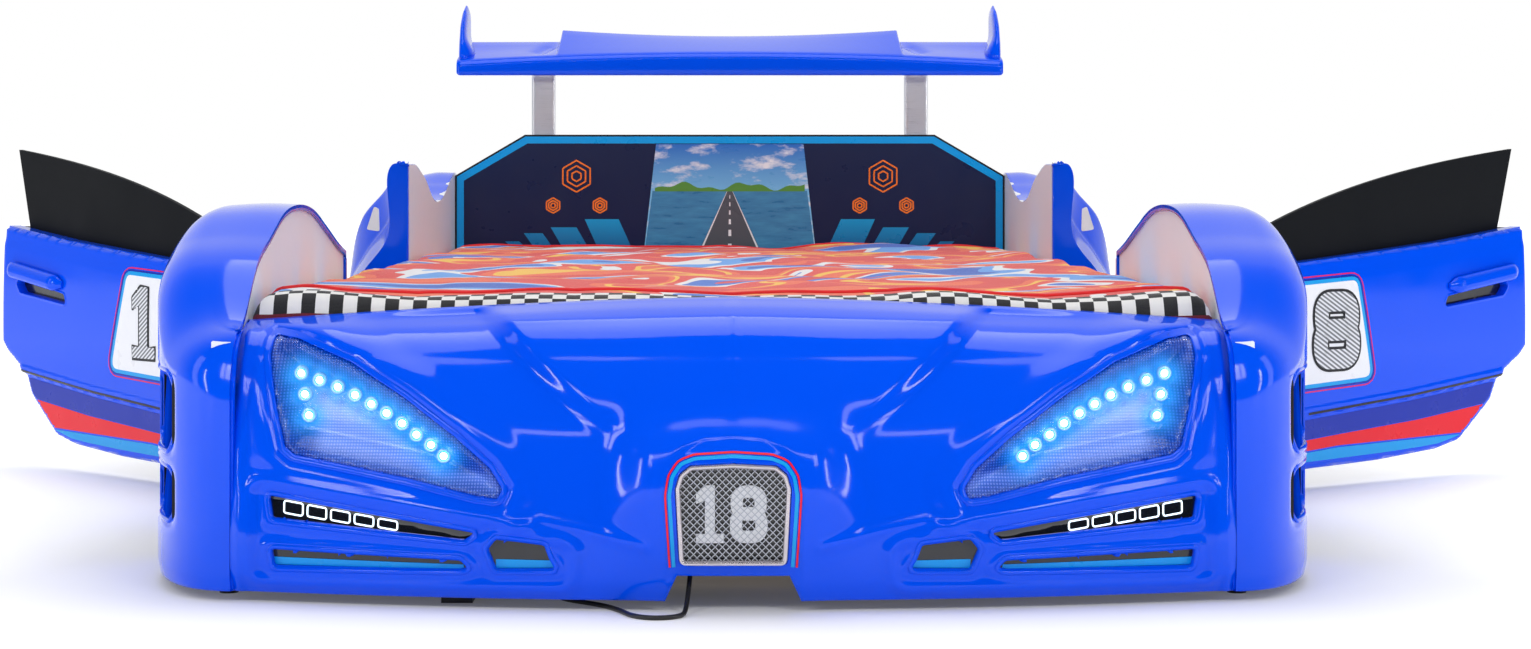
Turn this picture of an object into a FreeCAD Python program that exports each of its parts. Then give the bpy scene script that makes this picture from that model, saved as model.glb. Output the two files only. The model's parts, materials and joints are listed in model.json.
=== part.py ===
import FreeCAD, Part
import math
import os
import Sketcher
from FreeCAD import Placement, Rotation, Vector

# Car bed for a child, in millimetres. +Z is up, the nose points along -Y.
# The origin is on the floor, under the middle leg of the centre beam.
# A right-hand piece has positive X; its left-hand twin is its mirror image.

os.makedirs("parts", exist_ok=True)
doc = FreeCAD.newDocument("car_bed")
sheet = doc.addObject("Spreadsheet::Sheet", "sizes")

SIZES = [
    # bay for a 900 x 1900 mattress, and the boards round it
    ("bay_width", 940, "clear width between the side boards"),
    ("bay_front", -940, "Y of the footboard's rear face"),
    ("bay_rear", 980, "Y of the headboard's front face"),
    ("board_thick", 18, "side boards, headboard and footboard"),
    ("board_bottom", 20, "height of the boards above the floor"),
    ("sill_height", 215, "top of the side board in the doorway"),
    ("doorway_front", -275, "Y where the side board drops to the sill"),
    ("doorway_rear", 346.3, "Y where the side board rises to the pillar"),
    ("pillar_top", 417, "top of the pillar behind the doorway"),
    ("hump_top", 361, "top of the side board over the front wheel"),
    ("board_nose", -1020, "Y of the side board's front end"),
    ("headboard_top", 473, "top of the headboard"),
    ("headboard_shoulder", 403, "height where the headboard's corner is cut"),
    ("headboard_flat", 350, "half the width of the headboard's top edge"),
    # bed base
    ("ledger_size", 30, "square batten under the slats"),
    ("slat_bottom", 105, "underside of the slats"),
    ("slat_thick", 12, "slat thickness"),
    ("slat_width", 70, "slat width"),
    ("slat_count", 13, "number of slats"),
    ("beam_width", 40, "centre beam and its legs"),
    ("beam_depth", 60, "height of the centre beam"),
    ("leg_pitch", 700, "distance between the legs of the beam"),
    ("glide_radius", 9, "floor glides"),
    # bedding
    ("mattress_width", 900, "mattress width"),
    ("mattress_length", 1890, "mattress length"),
    ("mattress_height", 142, "mattress height"),
    ("quilt_edge", 8, "quilt thickness along its edges"),
    ("quilt_crown", 16, "quilt thickness along the middle"),
    # shells
    ("shell_wall", 4, "wall of the moulded shells"),
    ("lap", 4.8, "rise of a shell's lap above the board's top edge"),
    ("fit", 0.3, "clearance between pieces that seat on each other"),
    ("body_half", 575, "half the width of the body"),
    ("seam_half", 466, "half the width of the bumper"),
    ("nose_y", -1102, "foremost Y of the bumper without its collar"),
    ("nose_bow", 60, "how far the bumper sweeps back at its corners"),
    ("collar_rise", 12, "how far the grille surround stands forward"),
    ("bonnet_rear_mid", 279, "height of the bonnet's rear edge at the middle"),
    ("bonnet_rear_drop", 22, "how much lower that edge is at the corners"),
    ("skirt_height", 10, "gap between the shells and the floor"),
    ("notch_half_low", 64, "half width of the notch under the grille, at the skirt"),
    ("notch_half_high", 51, "half width of the notch, at its top"),
    ("notch_top", 34, "height of the notch"),
    ("fender_corner_x", 110, "half axis of the fender's plan corner, across"),
    ("fender_corner_y", 250, "half axis of the fender's plan corner, along"),
    ("fender_front", -1042, "Y of the fender's front face"),
    ("fender_rear", -304, "Y of the fender's rear wall"),
    ("fender_round", 42, "rounding of the fender's outer top edge"),
    ("front_axle", -650, "Y of the front wheels"),
    ("rear_axle", 700, "Y of the rear wheels"),
    ("axle_height", 155, "height of the wheel centres"),
    ("tyre_radius", 150, "outer radius of the tyres"),
    ("tyre_width", 58, "tyre width"),
    ("rim_radius", 107.7, "outer radius of the rims"),
    ("arch_gap", 15, "gap between tyre and wheel arch"),
    ("tyre_inner_x", 505, "X of the tyre's inner side"),
    ("tail_y", 1110, "Y of the rear end"),
    # spoiler
    ("wing_half", 466, "half the width of the wing"),
    ("wing_front", 965, "Y of the wing's front edge"),
    ("wing_rear", 1112, "Y of the wing's rear edge"),
    ("wing_bottom", 574, "underside of the wing"),
    ("winglet_top", 700, "top of the winglets"),
    ("post_x", 320, "X of the spoiler posts"),
    ("post_width", 40, "post width"),
    ("post_depth", 16, "post depth"),
    ("post_bottom", 250, "lower end of the posts"),
    # doors
    ("hinge_x", 564, "X of the door hinge pins"),
    ("hinge_y", -290, "Y of the door hinge pins"),
    ("pin_radius", 2.5, "hinge pin radius"),
    ("pin_play", 0.05, "running clearance on the hinge pin"),
    ("knuckle_radius", 5, "outer radius of the hinge knuckles"),
    ("knuckle_height", 13, "height of one knuckle"),
    ("knuckle_gap", 0.5, "gap between knuckles"),
    ("hinge_low", 55, "lower end of the lower hinge"),
    ("hinge_high", 215, "lower end of the upper hinge"),
    ("leaf_thick", 2.5, "hinge leaf thickness"),
    ("door_gap", 6.5, "gap between the pin's centre and the door's front edge"),
    ("door_length", 612, "door's rear edge, measured from the pin"),
    ("door_depth", 30, "depth of the door skin"),
    ("liner_thick", 18, "door liner thickness"),
    ("window_thick", 6, "door window thickness"),
    ("open_left", 45.4, "opening angle of the left door at rest"),
    ("open_right", 55.5, "opening angle of the right door at rest"),
    # lights and grille
    ("lamp_depth", 38, "depth of the headlight bowls"),
    ("led_radius", 5.3, "radius of one light emitter"),
    ("grille_top_half", 53, "half the grille frame's width at its shoulders"),
    ("grille_low_half", 49, "half the grille frame's width at its foot"),
    ("grille_low", 44, "bottom of the grille frame"),
    ("grille_high", 136, "top of the grille frame"),
    ("grille_rim", 5, "width of the grille frame's rim"),
    ("mesh_pitch", 12, "pitch of the grille's diagonal mesh"),
    ("mesh_bar", 2.4, "width of one mesh bar"),
    # electric lead
    ("cord_diameter", 4.5, "lead diameter"),
    ("coil_gap", 0.8, "gap between turns of the coil"),
    ("coil_inner", 18, "radius of the coil's innermost turn"),
    ("coil_turns", 4, "turns in one layer of the coil"),
    ("coil_x", -205, "X of the coil's centre"),
    ("coil_y", -985, "Y of the coil's centre"),
]

for row, (alias, value, note) in enumerate(SIZES, start=1):
    sheet.set(f"A{row}", alias)
    sheet.set(f"B{row}", str(value))
    sheet.setAlias(f"B{row}", alias)
    sheet.set(f"C{row}", note)
doc.recompute()


def size(alias):
    """Read one driving dimension from the sheet."""
    return float(getattr(sheet, alias))


bay_half = size("bay_width") / 2
board = size("board_thick")
outer_face = bay_half + board
wall = size("shell_wall")
fit = size("fit")
lap = size("lap")
skirt = size("skirt_height")
axle_z = size("axle_height")
probe = doc.addObject("Spreadsheet::Sheet", "probe")
SUB_PARTS = []
RIGHT, LEFT = 1, -1
SIDES = (("left", LEFT), ("right", RIGHT))


# ---------------------------------------------------------------- helpers

def name_part(obj, label):
    """Give an object the label that names its file."""
    obj.Label = label
    SUB_PARTS.append(obj)
    return obj


def box(name, corner, lengths):
    """A Part box whose corner and lengths are expressions on the sheet."""
    obj = doc.addObject("Part::Box", name)
    for prop, text in zip(("Length", "Width", "Height"), lengths):
        obj.setExpression(prop, text)
    for axis, text in zip("xyz", corner):
        obj.setExpression(f"Placement.Base.{axis}", text)
    return obj


def cylinder(name, centre, radius, height):
    """An upright Part cylinder whose sizes are expressions on the sheet."""
    obj = doc.addObject("Part::Cylinder", name)
    obj.setExpression("Radius", radius)
    obj.setExpression("Height", height)
    for axis, text in zip("xyz", centre):
        obj.setExpression(f"Placement.Base.{axis}", text)
    return obj


def group(label, members):
    """Several separate solids kept as one sub-part."""
    obj = doc.addObject("Part::Compound", label)
    obj.Links = members
    return name_part(obj, label)


def shaped(label, shape, placement=None):
    """A sub-part whose shape is worked out here from sizes of the sheet."""
    obj = doc.addObject("Part::Feature", label)
    obj.Shape = shape
    if placement is not None:
        obj.Placement = placement
    return name_part(obj, label)


def mirror_x(shape):
    """The shape's mirror image across the bed's centre plane."""
    return shape.mirror(Vector(0, 0, 0), Vector(1, 0, 0))


def both_sides(label, shape):
    """The right-hand shape and its left-hand mirror image as two sub-parts."""
    shaped(f"{label}_right", shape)
    shaped(f"{label}_left", mirror_x(shape))


def prism_x(points, x0, x1):
    """A prism along X over a closed outline of (y, z) points."""
    wire = Part.makePolygon([Vector(x0, y, z) for y, z in points + points[:1]])
    return Part.Face(wire).extrude(Vector(x1 - x0, 0, 0))


def prism_y(points, y0, y1):
    """A prism along Y over a closed outline of (x, z) points."""
    wire = Part.makePolygon([Vector(x, y0, z) for x, z in points + points[:1]])
    return Part.Face(wire).extrude(Vector(0, y1 - y0, 0))


def block(x0, x1, y0, y1, z0, z1):
    """A box given by its limits."""
    return Part.makeBox(x1 - x0, y1 - y0, z1 - z0, Vector(x0, y0, z0))


def rod_x(y, z, radius, x0, x1):
    """A round rod along X."""
    return Part.makeCylinder(radius, x1 - x0, Vector(x0, y, z), Vector(1, 0, 0))


def rod_y(x, z, radius, y0, y1):
    """A round rod along Y."""
    return Part.makeCylinder(radius, y1 - y0, Vector(x, y0, z), Vector(0, 1, 0))


def shift_chain(points, depth):
    """Move an open chain of points sideways, to its right, with mitred corners."""
    normals = []
    for (u0, v0), (u1, v1) in zip(points, points[1:]):
        run = math.hypot(u1 - u0, v1 - v0)
        normals.append(((v1 - v0) / run, -(u1 - u0) / run))
    ends = [normals[0]] + normals
    starts = normals + [normals[-1]]
    moved = []
    for (u, v), (a0, b0), (a1, b1) in zip(points, ends, starts):
        share = depth / (1 + a0 * a1 + b0 * b1)
        moved.append((u + (a0 + a1) * share, v + (b0 + b1) * share))
    return moved


def layer(chain, stations, axis, outer, inner):
    """A skin between two depths under the surface that a chain sweeps out.

    chain(station) gives the open outline at one station. The skin is a ruled
    loft through its closed sections.
    """
    wires = []
    for station in stations:
        line = chain(station)
        ring = shift_chain(line, outer) + shift_chain(line, inner)[::-1]
        if axis == "x":
            corners = [Vector(station, u, v) for u, v in ring]
        else:
            corners = [Vector(u, station, v) for u, v in ring]
        wires.append(Part.makePolygon(corners + corners[:1]))
    return Part.makeLoft(wires, True, True)


def grown(points, amount):
    """An outline of (x, z) points moved outward by an amount, corners kept sharp."""
    wire = Part.makePolygon([Vector(x, 0, z) for x, z in points + points[:1]])
    if amount == 0:
        return points
    moved = wire.makeOffset2D(amount, 2)
    corners = [v.Point for v in moved.OrderedVertexes]
    return [(p.x, p.z) for p in corners]


def evaluate(text):
    """The value of an expression made of sheet aliases, through a spare cell."""
    probe.set("A1", "=" + text)
    doc.recompute([probe])
    return float(probe.A1)


def sketch_on(body, role, name):
    """A new sketch on one of the body's own origin planes."""
    sketch = body.newObject("Sketcher::SketchObject", name)
    plane = [f for f in body.Origin.OriginFeatures if f.Role == role][0]
    sketch.AttachmentSupport = (plane, [""])
    sketch.MapMode = "FlatFace"
    return sketch


def sketch_outline(sketch, corners):
    """A closed outline whose corners are pairs of expressions on the sheet."""
    values = [(evaluate(u), evaluate(v)) for u, v in corners]
    count = len(corners)
    for i in range(count):
        start = Vector(*values[i], 0)
        end = Vector(*values[(i + 1) % count], 0)
        sketch.addGeometry(Part.LineSegment(start, end))
    for i in range(count):
        sketch.addConstraint(
            Sketcher.Constraint("Coincident", i, 2, (i + 1) % count, 1))
    for i, (texts, numbers) in enumerate(zip(corners, values)):
        for kind, text, number in zip(("DistanceX", "DistanceY"), texts, numbers):
            index = sketch.addConstraint(
                Sketcher.Constraint(kind, -1, 1, i, 1, number))
            sketch.setExpression(f"Constraints[{index}]", text)


def padded(label, role, corners, length, reversed_=False):
    """A body padded from one outline on an origin plane."""
    body = doc.addObject("PartDesign::Body", label)
    sketch = sketch_on(body, role, f"{label}_outline")
    sketch_outline(sketch, corners)
    pad = body.newObject("PartDesign::Pad", f"{label}_plate")
    pad.Profile = sketch
    pad.setExpression("Length", length)
    pad.Reversed = reversed_
    return body


# ---------------------------------------------------------------- boards

# The side board's upper edge over the front wheel, from the bonnet backwards.
HUMP = [
    (-1020, 240),
    (-974, 253),
    (-901, 305),
    (-822, 331),
    (-740, 354),
    (-650, 361),
    (-554, 355),
    (-453, 334),
    (-363, 313),
    (-275, 297),
]
# The upper edge behind the doorway, from the pillar to the headboard.
REAR_EDGE = [
    (425, 417),
    (508, 404),
    (566, 392),
    (639, 369),
    (725, 360),
    (812, 370),
    (879, 387),
    (980, 408),
]


def hump_line(rise=0.0):
    """The hump's points, tied to the hump's height and the doorway."""
    lift = size("hump_top") - 361
    points = []
    for y, z in HUMP:
        share = (z - 240) / (361 - 240)
        points.append((y, z + lift * share + rise))
    points[0] = (size("board_nose"), points[0][1])
    points[-1] = (size("doorway_front"), points[-1][1])
    return points


def rear_line(rise=0.0):
    """The rear edge's points, tied to the pillar's height and the headboard."""
    lift = size("pillar_top") - 417
    points = [(y, z + lift + rise) for y, z in REAR_EDGE]
    points[-1] = (size("bay_rear"), points[-1][1])
    return points


def spline_x(x, points):
    """A smooth edge through (y, z) points in the plane at x."""
    curve = Part.BSplineCurve()
    curve.interpolate([Vector(x, y, z) for y, z in points])
    return curve.toShape()


def line_x(x, start, end):
    """A straight edge between two (y, z) points in the plane at x."""
    return Part.makeLine(Vector(x, *start), Vector(x, *end))


def side_board():
    """The right-hand side board: hump, sill and pillar in one plate."""
    bottom = size("board_bottom")
    sill = size("sill_height")
    rear = size("doorway_rear")
    hump = hump_line()
    tail = rear_line()
    corners = [
        (rear, size("pillar_top")),
        (rear, sill),
        (size("doorway_front"), sill),
    ]
    edges = [
        line_x(bay_half, (hump[0][0], bottom), hump[0]),
        spline_x(bay_half, hump),
        line_x(bay_half, hump[-1], corners[2]),
        line_x(bay_half, corners[2], corners[1]),
        line_x(bay_half, corners[1], corners[0]),
        line_x(bay_half, corners[0], tail[0]),
        spline_x(bay_half, tail),
        line_x(bay_half, tail[-1], (size("bay_rear") + board, tail[-1][1])),
        line_x(bay_half, (size("bay_rear") + board, tail[-1][1]),
               (size("bay_rear") + board, bottom)),
        line_x(bay_half, (size("bay_rear") + board, bottom), (hump[0][0], bottom)),
    ]
    face = Part.Face(Part.Wire(edges))
    return face.extrude(Vector(board, 0, 0))


# Screws that hold the shells' inner flanges: (y, z) on the side board.
SCREW_Z = 40
SCREW_RADIUS = 2
SCREW_HEAD = 4
SCREW_HEAD_THICK = 2.2
FENDER_SCREWS = (-970, -880, -430, -340)
QUARTER_SCREWS = (400, 500, 890, 950)
FLANGE_TOP = 60
screw_ys = FENDER_SCREWS + QUARTER_SCREWS

screw_holes = [
    rod_x(y, SCREW_Z, SCREW_RADIUS + fit, bay_half - 1, outer_face + wall + 1)
    for y in screw_ys
]
both_sides("side_board", side_board().cut(screw_holes))


S = "<<sizes>>."

# Headboard: a plate with cut upper corners, standing across the rear of the bay.
half = f"({S}bay_width / 2 - 0.5)"
headboard_blank = padded("headboard_blank", "XZ_Plane", [
    (f"-{half}", f"{S}board_bottom"),
    (half, f"{S}board_bottom"),
    (half, f"{S}headboard_shoulder"),
    (f"{S}headboard_flat", f"{S}headboard_top"),
    (f"-{S}headboard_flat", f"{S}headboard_top"),
    (f"-{half}", f"{S}headboard_shoulder"),
], f"{S}board_thick", True)
headboard_blank.setExpression("Placement.Base.y", f"{S}bay_rear")

# Footboard: a hidden cross board whose top edge follows the bonnet from below.
rear_low = f"({S}bonnet_rear_mid - {S}bonnet_rear_drop - {S}shell_wall - 6.2)"
rear_high = f"({S}bonnet_rear_mid - {S}shell_wall - 6.6)"
footboard_blank = padded("footboard_blank", "XZ_Plane", [
    (f"-{half}", f"{S}board_bottom"),
    (half, f"{S}board_bottom"),
    (half, rear_low),
    ("40", rear_high),
    ("-40", rear_high),
    (f"-{half}", rear_low),
], f"{S}board_thick")
footboard_blank.setExpression("Placement.Base.y", f"{S}bay_front")

# ---------------------------------------------------------------- bed base

ledger_length = f"({S}bay_rear - {S}bay_front - 10)"
ledgers = []
for side_name, place in (("right", f"{S}bay_width / 2 - {S}ledger_size - {S}fit"),
                         ("left", f"-{S}bay_width / 2 + {S}fit")):
    ledgers.append(box(
        f"ledger_{side_name}",
        (place, f"{S}bay_front + 5", f"{S}slat_bottom - {S}ledger_size"),
        (f"{S}ledger_size", ledger_length, f"{S}ledger_size")))
group("slat_ledgers", ledgers)

slats = doc.addObject("PartDesign::Body", "bed_slats")
slat_sketch = sketch_on(slats, "XY_Plane", "slat_outline")
slat_half = f"({S}bay_width / 2 - 2)"
sketch_outline(slat_sketch, [
    (f"-{slat_half}", f"{S}bay_front + 30"),
    (slat_half, f"{S}bay_front + 30"),
    (slat_half, f"{S}bay_front + 30 + {S}slat_width"),
    (f"-{slat_half}", f"{S}bay_front + 30 + {S}slat_width"),
])
slat_pad = slats.newObject("PartDesign::Pad", "slat_pad")
slat_pad.Profile = slat_sketch
slat_pad.setExpression("Length", f"{S}slat_thick")
slats.AllowCompound = True
slat_row = slats.newObject("PartDesign::LinearPattern", "slat_row")
slat_row.Originals = [slat_pad]
slat_row.Direction = (slat_sketch, ["V_Axis"])
slat_row.setExpression(
    "Length", f"{S}bay_rear - {S}bay_front - 60 - {S}slat_width")
slat_row.setExpression("Occurrences", f"{S}slat_count")
slats.Tip = slat_row
slats.setExpression("Placement.Base.z", f"{S}slat_bottom")
name_part(slats, "bed_slats")

# Centre beam with three legs; the middle leg's foot is the origin.
beam_bottom = f"({S}slat_bottom - {S}beam_depth)"
beam = [box(
    "beam", (f"-{S}beam_width / 2", f"{S}bay_front + 5", beam_bottom),
    (f"{S}beam_width", ledger_length, f"{S}beam_depth"))]
for index, step in enumerate((-1, 0, 1)):
    beam.append(box(
        f"beam_leg_{index}",
        (f"-{S}beam_width / 2", f"{step} * {S}leg_pitch - {S}beam_width / 2", "0"),
        (f"{S}beam_width", f"{S}beam_width", beam_bottom)))
centre_beam = doc.addObject("Part::MultiFuse", "centre_beam")
centre_beam.Shapes = beam
name_part(centre_beam, "centre_beam")

glides = []
for side_name, side in SIDES:
    for index, y in enumerate((-980, -420, 420, 940)):
        glides.append(cylinder(
            f"glide_{side_name}_{index}",
            (f"{side} * ({S}bay_width / 2 + {S}board_thick / 2)", f"{y}", "0"),
            f"{S}glide_radius", f"{S}board_bottom"))
group("floor_glides", glides)

# ---------------------------------------------------------------- bedding

mattress_box = box(
    "mattress_block",
    (f"-{S}mattress_width / 2",
     f"({S}bay_front + {S}bay_rear) / 2 - {S}mattress_length / 2 + 5",
     f"{S}slat_bottom + {S}slat_thick + {S}fit"),
    (f"{S}mattress_width", f"{S}mattress_length", f"{S}mattress_height"))
doc.recompute()
mattress = doc.addObject("Part::Fillet", "mattress")
mattress.Base = mattress_box
mattress.Edges = [(i + 1, 18.0, 18.0) for i in range(12)]
name_part(mattress, "mattress")

MATTRESS_TOP = size("slat_bottom") + size("slat_thick") + fit + size("mattress_height")
QUILT_DROP = 26
QUILT_SIDE_GAP = 1.5
QUILT_REST = 0.4
QUILT_ENDS = (size("bay_front") + 2, size("bay_rear") - 2)


def quilt_section(y, lift, half_width):
    """One crowned cross section of the quilt: a flat foot and an arched top."""
    low = MATTRESS_TOP + QUILT_REST - lift
    edge = low + size("quilt_edge")
    crown = low + size("quilt_crown") + 2
    foot_left = Vector(-half_width, y, low)
    foot_right = Vector(half_width, y, low)
    shoulder_left = Vector(-half_width, y, edge)
    shoulder_right = Vector(half_width, y, edge)
    arch = Part.Arc(shoulder_right, Vector(0, y, crown), shoulder_left).toShape()
    return Part.Wire([
        Part.makeLine(foot_left, foot_right),
        Part.makeLine(foot_right, shoulder_right),
        arch,
        Part.makeLine(shoulder_left, foot_left),
    ])


def quilt():
    """A crowned cover whose front and rear edges roll down over the mattress."""
    front, rear = QUILT_ENDS
    half_width = bay_half - QUILT_SIDE_GAP
    stations = [
        (front + 20, 0), (front + 60, -3), (-400, -4), (0, -2), (500, -4),
        (rear - 60, -3), (rear - 20, 0),
    ]
    wires = [quilt_section(y, lift, half_width) for y, lift in stations]
    cover = Part.makeLoft(wires, True, False)
    rolls = []
    mattress_front = mattress_y[0]
    mattress_rear = mattress_y[1]
    for near, far in ((front, mattress_front - 1), (mattress_rear + 1, rear)):
        rolls.append(block(-half_width, half_width, near, far,
                           MATTRESS_TOP - QUILT_DROP, MATTRESS_TOP + QUILT_REST + 0.2))
    edge_fill = [
        block(-half_width, half_width, front, front + 21, MATTRESS_TOP + QUILT_REST,
              MATTRESS_TOP + size("quilt_edge")),
        block(-half_width, half_width, rear - 21, rear, MATTRESS_TOP + QUILT_REST,
              MATTRESS_TOP + size("quilt_edge")),
    ]
    return cover.fuse(rolls + edge_fill).removeSplitter()


mattress_mid = (size("bay_front") + size("bay_rear")) / 2 + 5
mattress_y = (mattress_mid - size("mattress_length") / 2,
              mattress_mid + size("mattress_length") / 2)
shaped("quilt", quilt())

# ---------------------------------------------------------------- front bumper

COLLAR_INNER = 72
COLLAR_OUTER = 125
FLANGE_HALF = 190


def bumper_chain(x):
    """The bumper's outline in the plane at x, from its skirt up to its rear edge."""
    share = abs(x) / size("seam_half")
    front = size("nose_y") + size("nose_bow") * share ** 2
    ramp = min(1, max(0, (COLLAR_OUTER - abs(x)) / (COLLAR_OUTER - COLLAR_INNER)))
    collar = ramp * ramp * (3 - 2 * ramp)
    rear = size("bay_front")
    rear_z = size("bonnet_rear_mid") - size("bonnet_rear_drop") * share ** 1.5
    depth = rear - front
    return [
        (front + 8, skirt),
        (front, 30),
        (front + 4 - size("collar_rise") * collar, 110 + 35 * collar),
        (front + 0.15 * depth, 180),
        (front + 0.36 * depth, 225),
        (front + 0.62 * depth, rear_z - 0.114 * depth),
        (rear, rear_z),
    ]


BUMPER_HALF_STATIONS = (35, 72, 98, 125, 200, 290, 380)
seam = size("seam_half")
BUMPER_STATIONS = sorted(
    [-seam, 0, seam] + [side * x for x in BUMPER_HALF_STATIONS for side in (LEFT, RIGHT)])


def bumper_layer(outer, inner):
    """A skin between two depths under the bumper's surface."""
    return layer(bumper_chain, BUMPER_STATIONS, "x", outer, inner)


# Outlines of the openings in the right half of the bumper, as (x, z).
LAMP = [
    (435, 247), (410, 243), (357, 223), (304, 192), (253, 156), (221, 129),
    (209, 110), (214, 99), (236, 102), (300, 117), (366, 129), (407, 136),
    (417, 144), (427, 182), (437, 228),
]
LED_ROW = [
    (406, 210), (388, 204), (370, 198), (353, 191), (337, 183), (322, 175),
    (307, 166), (293, 156), (279, 147), (267, 137), (401, 191), (396, 172),
]
RUNNING_LIGHT = [(430, 101), (426, 79), (244, 63), (233, 71)]
LOW_SLOT = [(427, 52), (424, 35), (248, 36), (240, 38), (248, 46)]
MIDDLE_SLOT = [(224, 56), (216, 66), (171, 61), (166, 48), (160, 38), (216, 37)]
FRONT_CUT = (-1140, -962)


def mirrored_points(points):
    """The outline's mirror image across the centre plane."""
    return [(-x, z) for x, z in points]


def grille_outline():
    """The grille frame's outer edge: wide shoulders, rounded top, narrower foot."""
    top = size("grille_high")
    low = size("grille_low")
    wide = size("grille_top_half")
    narrow = size("grille_low_half")
    right = [(narrow, low), (wide, top - 22), (wide - 4, top - 9), (wide - 14, top - 1)]
    return right + [(0, top + 1)] + mirrored_points(right)[::-1]


notch = [
    (-size("notch_half_low"), skirt - 5),
    (size("notch_half_low"), skirt - 5),
    (size("notch_half_high"), size("notch_top")),
    (-size("notch_half_high"), size("notch_top")),
]
openings = [prism_y(grown(grille_outline(), fit), *FRONT_CUT), prism_y(notch, -1140, -1060)]
for outline_points in (LAMP, RUNNING_LIGHT, LOW_SLOT, MIDDLE_SLOT):
    openings.append(prism_y(outline_points, *FRONT_CUT))
    openings.append(prism_y(mirrored_points(outline_points), *FRONT_CUT))

bumper = bumper_layer(0, wall)
for side in (LEFT, RIGHT):
    ends = sorted((side * (seam - wall), side * seam))
    bumper = bumper.fuse(layer(bumper_chain, ends, "x", wall - 1, 18))

# A tab under the bonnet takes the screws that come through the footboard.
footboard_front = size("bay_front") - board
tab_xs = (-FLANGE_HALF, -100, 0, 100, FLANGE_HALF)
tab_top = []
for x in tab_xs:
    chain = shift_chain(bumper_chain(x), wall / 2)
    (y0, z0), (y1, z1) = chain[-2:]
    tab_top.append((x, z0 + (z1 - z0) * (footboard_front - y0) / (y1 - y0)))
tab_outline = [(-FLANGE_HALF, 195), (FLANGE_HALF, 195)] + tab_top[::-1]
foot_tab = prism_y(tab_outline, footboard_front - fit - wall, footboard_front - fit)
FOOT_SCREWS = (-150, -60, 60, 150)
FOOT_SCREW_Z = 207
foot_holes = [
    rod_y(x, FOOT_SCREW_Z, SCREW_RADIUS + fit, footboard_front - 8, size("bay_front") + 1)
    for x in FOOT_SCREWS
]
foot_corner = evaluate(rear_low) + fit
foot_middle = evaluate(rear_high) + fit
footboard_space = prism_y(
    [(-seam - 4, 0), (seam + 4, 0), (seam + 4, foot_corner), (40, foot_middle),
     (-40, foot_middle), (-seam - 4, foot_corner)],
    footboard_front - fit, size("bay_front") + 1)
behind = block(-seam - 1, seam + 1, size("bay_front"), size("bay_front") + 40, 0, 400)
bumper = bumper.fuse(foot_tab).cut(openings + foot_holes + [footboard_space, behind])
shaped("front_bumper", bumper)
doc.recompute()
shaped("footboard", footboard_blank.Shape.cut(foot_holes))

# ---------------------------------------------------------------- front fenders

PLAN_INNER = 440


def plan_prism(inset, x_inner, y_rear, z0, z1):
    """The fender's plan shape, its front corner a quarter ellipse, as a prism."""
    half_x = size("fender_corner_x") - inset
    half_y = size("fender_corner_y") - inset
    outer_x = size("body_half") - inset
    centre = Vector(outer_x - half_x, size("fender_front") + inset + half_y, z0)
    ellipse = Part.Ellipse(centre + Vector(0, half_y, 0), centre + Vector(half_x, 0, 0), centre)
    front = Vector(centre.x, centre.y - half_y, z0)
    side = Vector(outer_x, centre.y, z0)
    start, end = sorted((ellipse.parameter(front), ellipse.parameter(side)))
    corner = ellipse.toShape(start, end)
    edges = [
        Part.makeLine(Vector(x_inner, front.y, z0), front),
        corner,
        Part.makeLine(side, Vector(outer_x, y_rear, z0)),
        Part.makeLine(Vector(outer_x, y_rear, z0), Vector(x_inner, y_rear, z0)),
        Part.makeLine(Vector(x_inner, y_rear, z0), Vector(x_inner, front.y, z0)),
    ]
    return Part.Face(Part.Wire(edges)).extrude(Vector(0, 0, z1 - z0))


def fender_form(inset, low, inner_x):
    """The fender's whole form: its side view carried across its plan shape."""
    front = size("fender_front") + inset
    rear = size("fender_rear") - inset
    hump = hump_line(lap - inset)
    nose = [(front, hump[0][1] - 14), (front + 3, hump[0][1] - 7)]
    top = nose + [(y, z) for y, z in hump if front + 12 < y < rear - 12]
    last = hump[-2][1] + (hump[-1][1] - hump[-2][1]) * (
        (rear - hump[-2][0]) / (hump[-1][0] - hump[-2][0]))
    top.append((rear, last))
    edges = [
        line_x(inner_x, (front, low), top[0]),
        spline_x(inner_x, top),
        line_x(inner_x, top[-1], (rear, low)),
        line_x(inner_x, (rear, low), (front, low)),
    ]
    side_view = Part.Face(Part.Wire(edges)).extrude(Vector(120, 0, 0))
    form = side_view.common(plan_prism(inset, PLAN_INNER, rear, low, 500))
    rim = [e for e in form.Edges if on_outer_rim(e, inset)]
    return form.makeFillet(size("fender_round") - inset, rim)


def on_outer_rim(edge, inset):
    """True for an edge that lies along the fender's outer top rim."""
    points = edge.discretize(5)
    outer = size("body_half") - inset
    centre_x = size("body_half") - size("fender_corner_x")
    centre_y = size("fender_front") + size("fender_corner_y")
    for p in points:
        if p.z < 225:
            return False
        across = (p.x - centre_x) / (size("fender_corner_x") - inset)
        along = min(0, p.y - centre_y) / (size("fender_corner_y") - inset)
        if abs(p.x - outer) > 0.5 and abs(across ** 2 + along ** 2 - 1) > 0.01:
            return False
    return abs(edge.Vertexes[0].Z - edge.Vertexes[-1].Z) < 400 and not is_upright(edge)


def is_upright(edge):
    """True for an edge that stands straight up."""
    first, last = edge.Vertexes[0].Point, edge.Vertexes[-1].Point
    return math.hypot(first.x - last.x, first.y - last.y) < 0.1


VENT_YS = (-979, -862)
VENT_ZS = ((68, 117), (134, 209))
VENT_X = 505
# The side board with its clearance outward and upward, also over the bay's rim.
board_envelope = side_board()
for step in (fit, -8):
    raised_board = side_board()
    raised_board.translate(Vector(step, 0, fit))
    board_envelope = board_envelope.fuse(raised_board)

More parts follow.
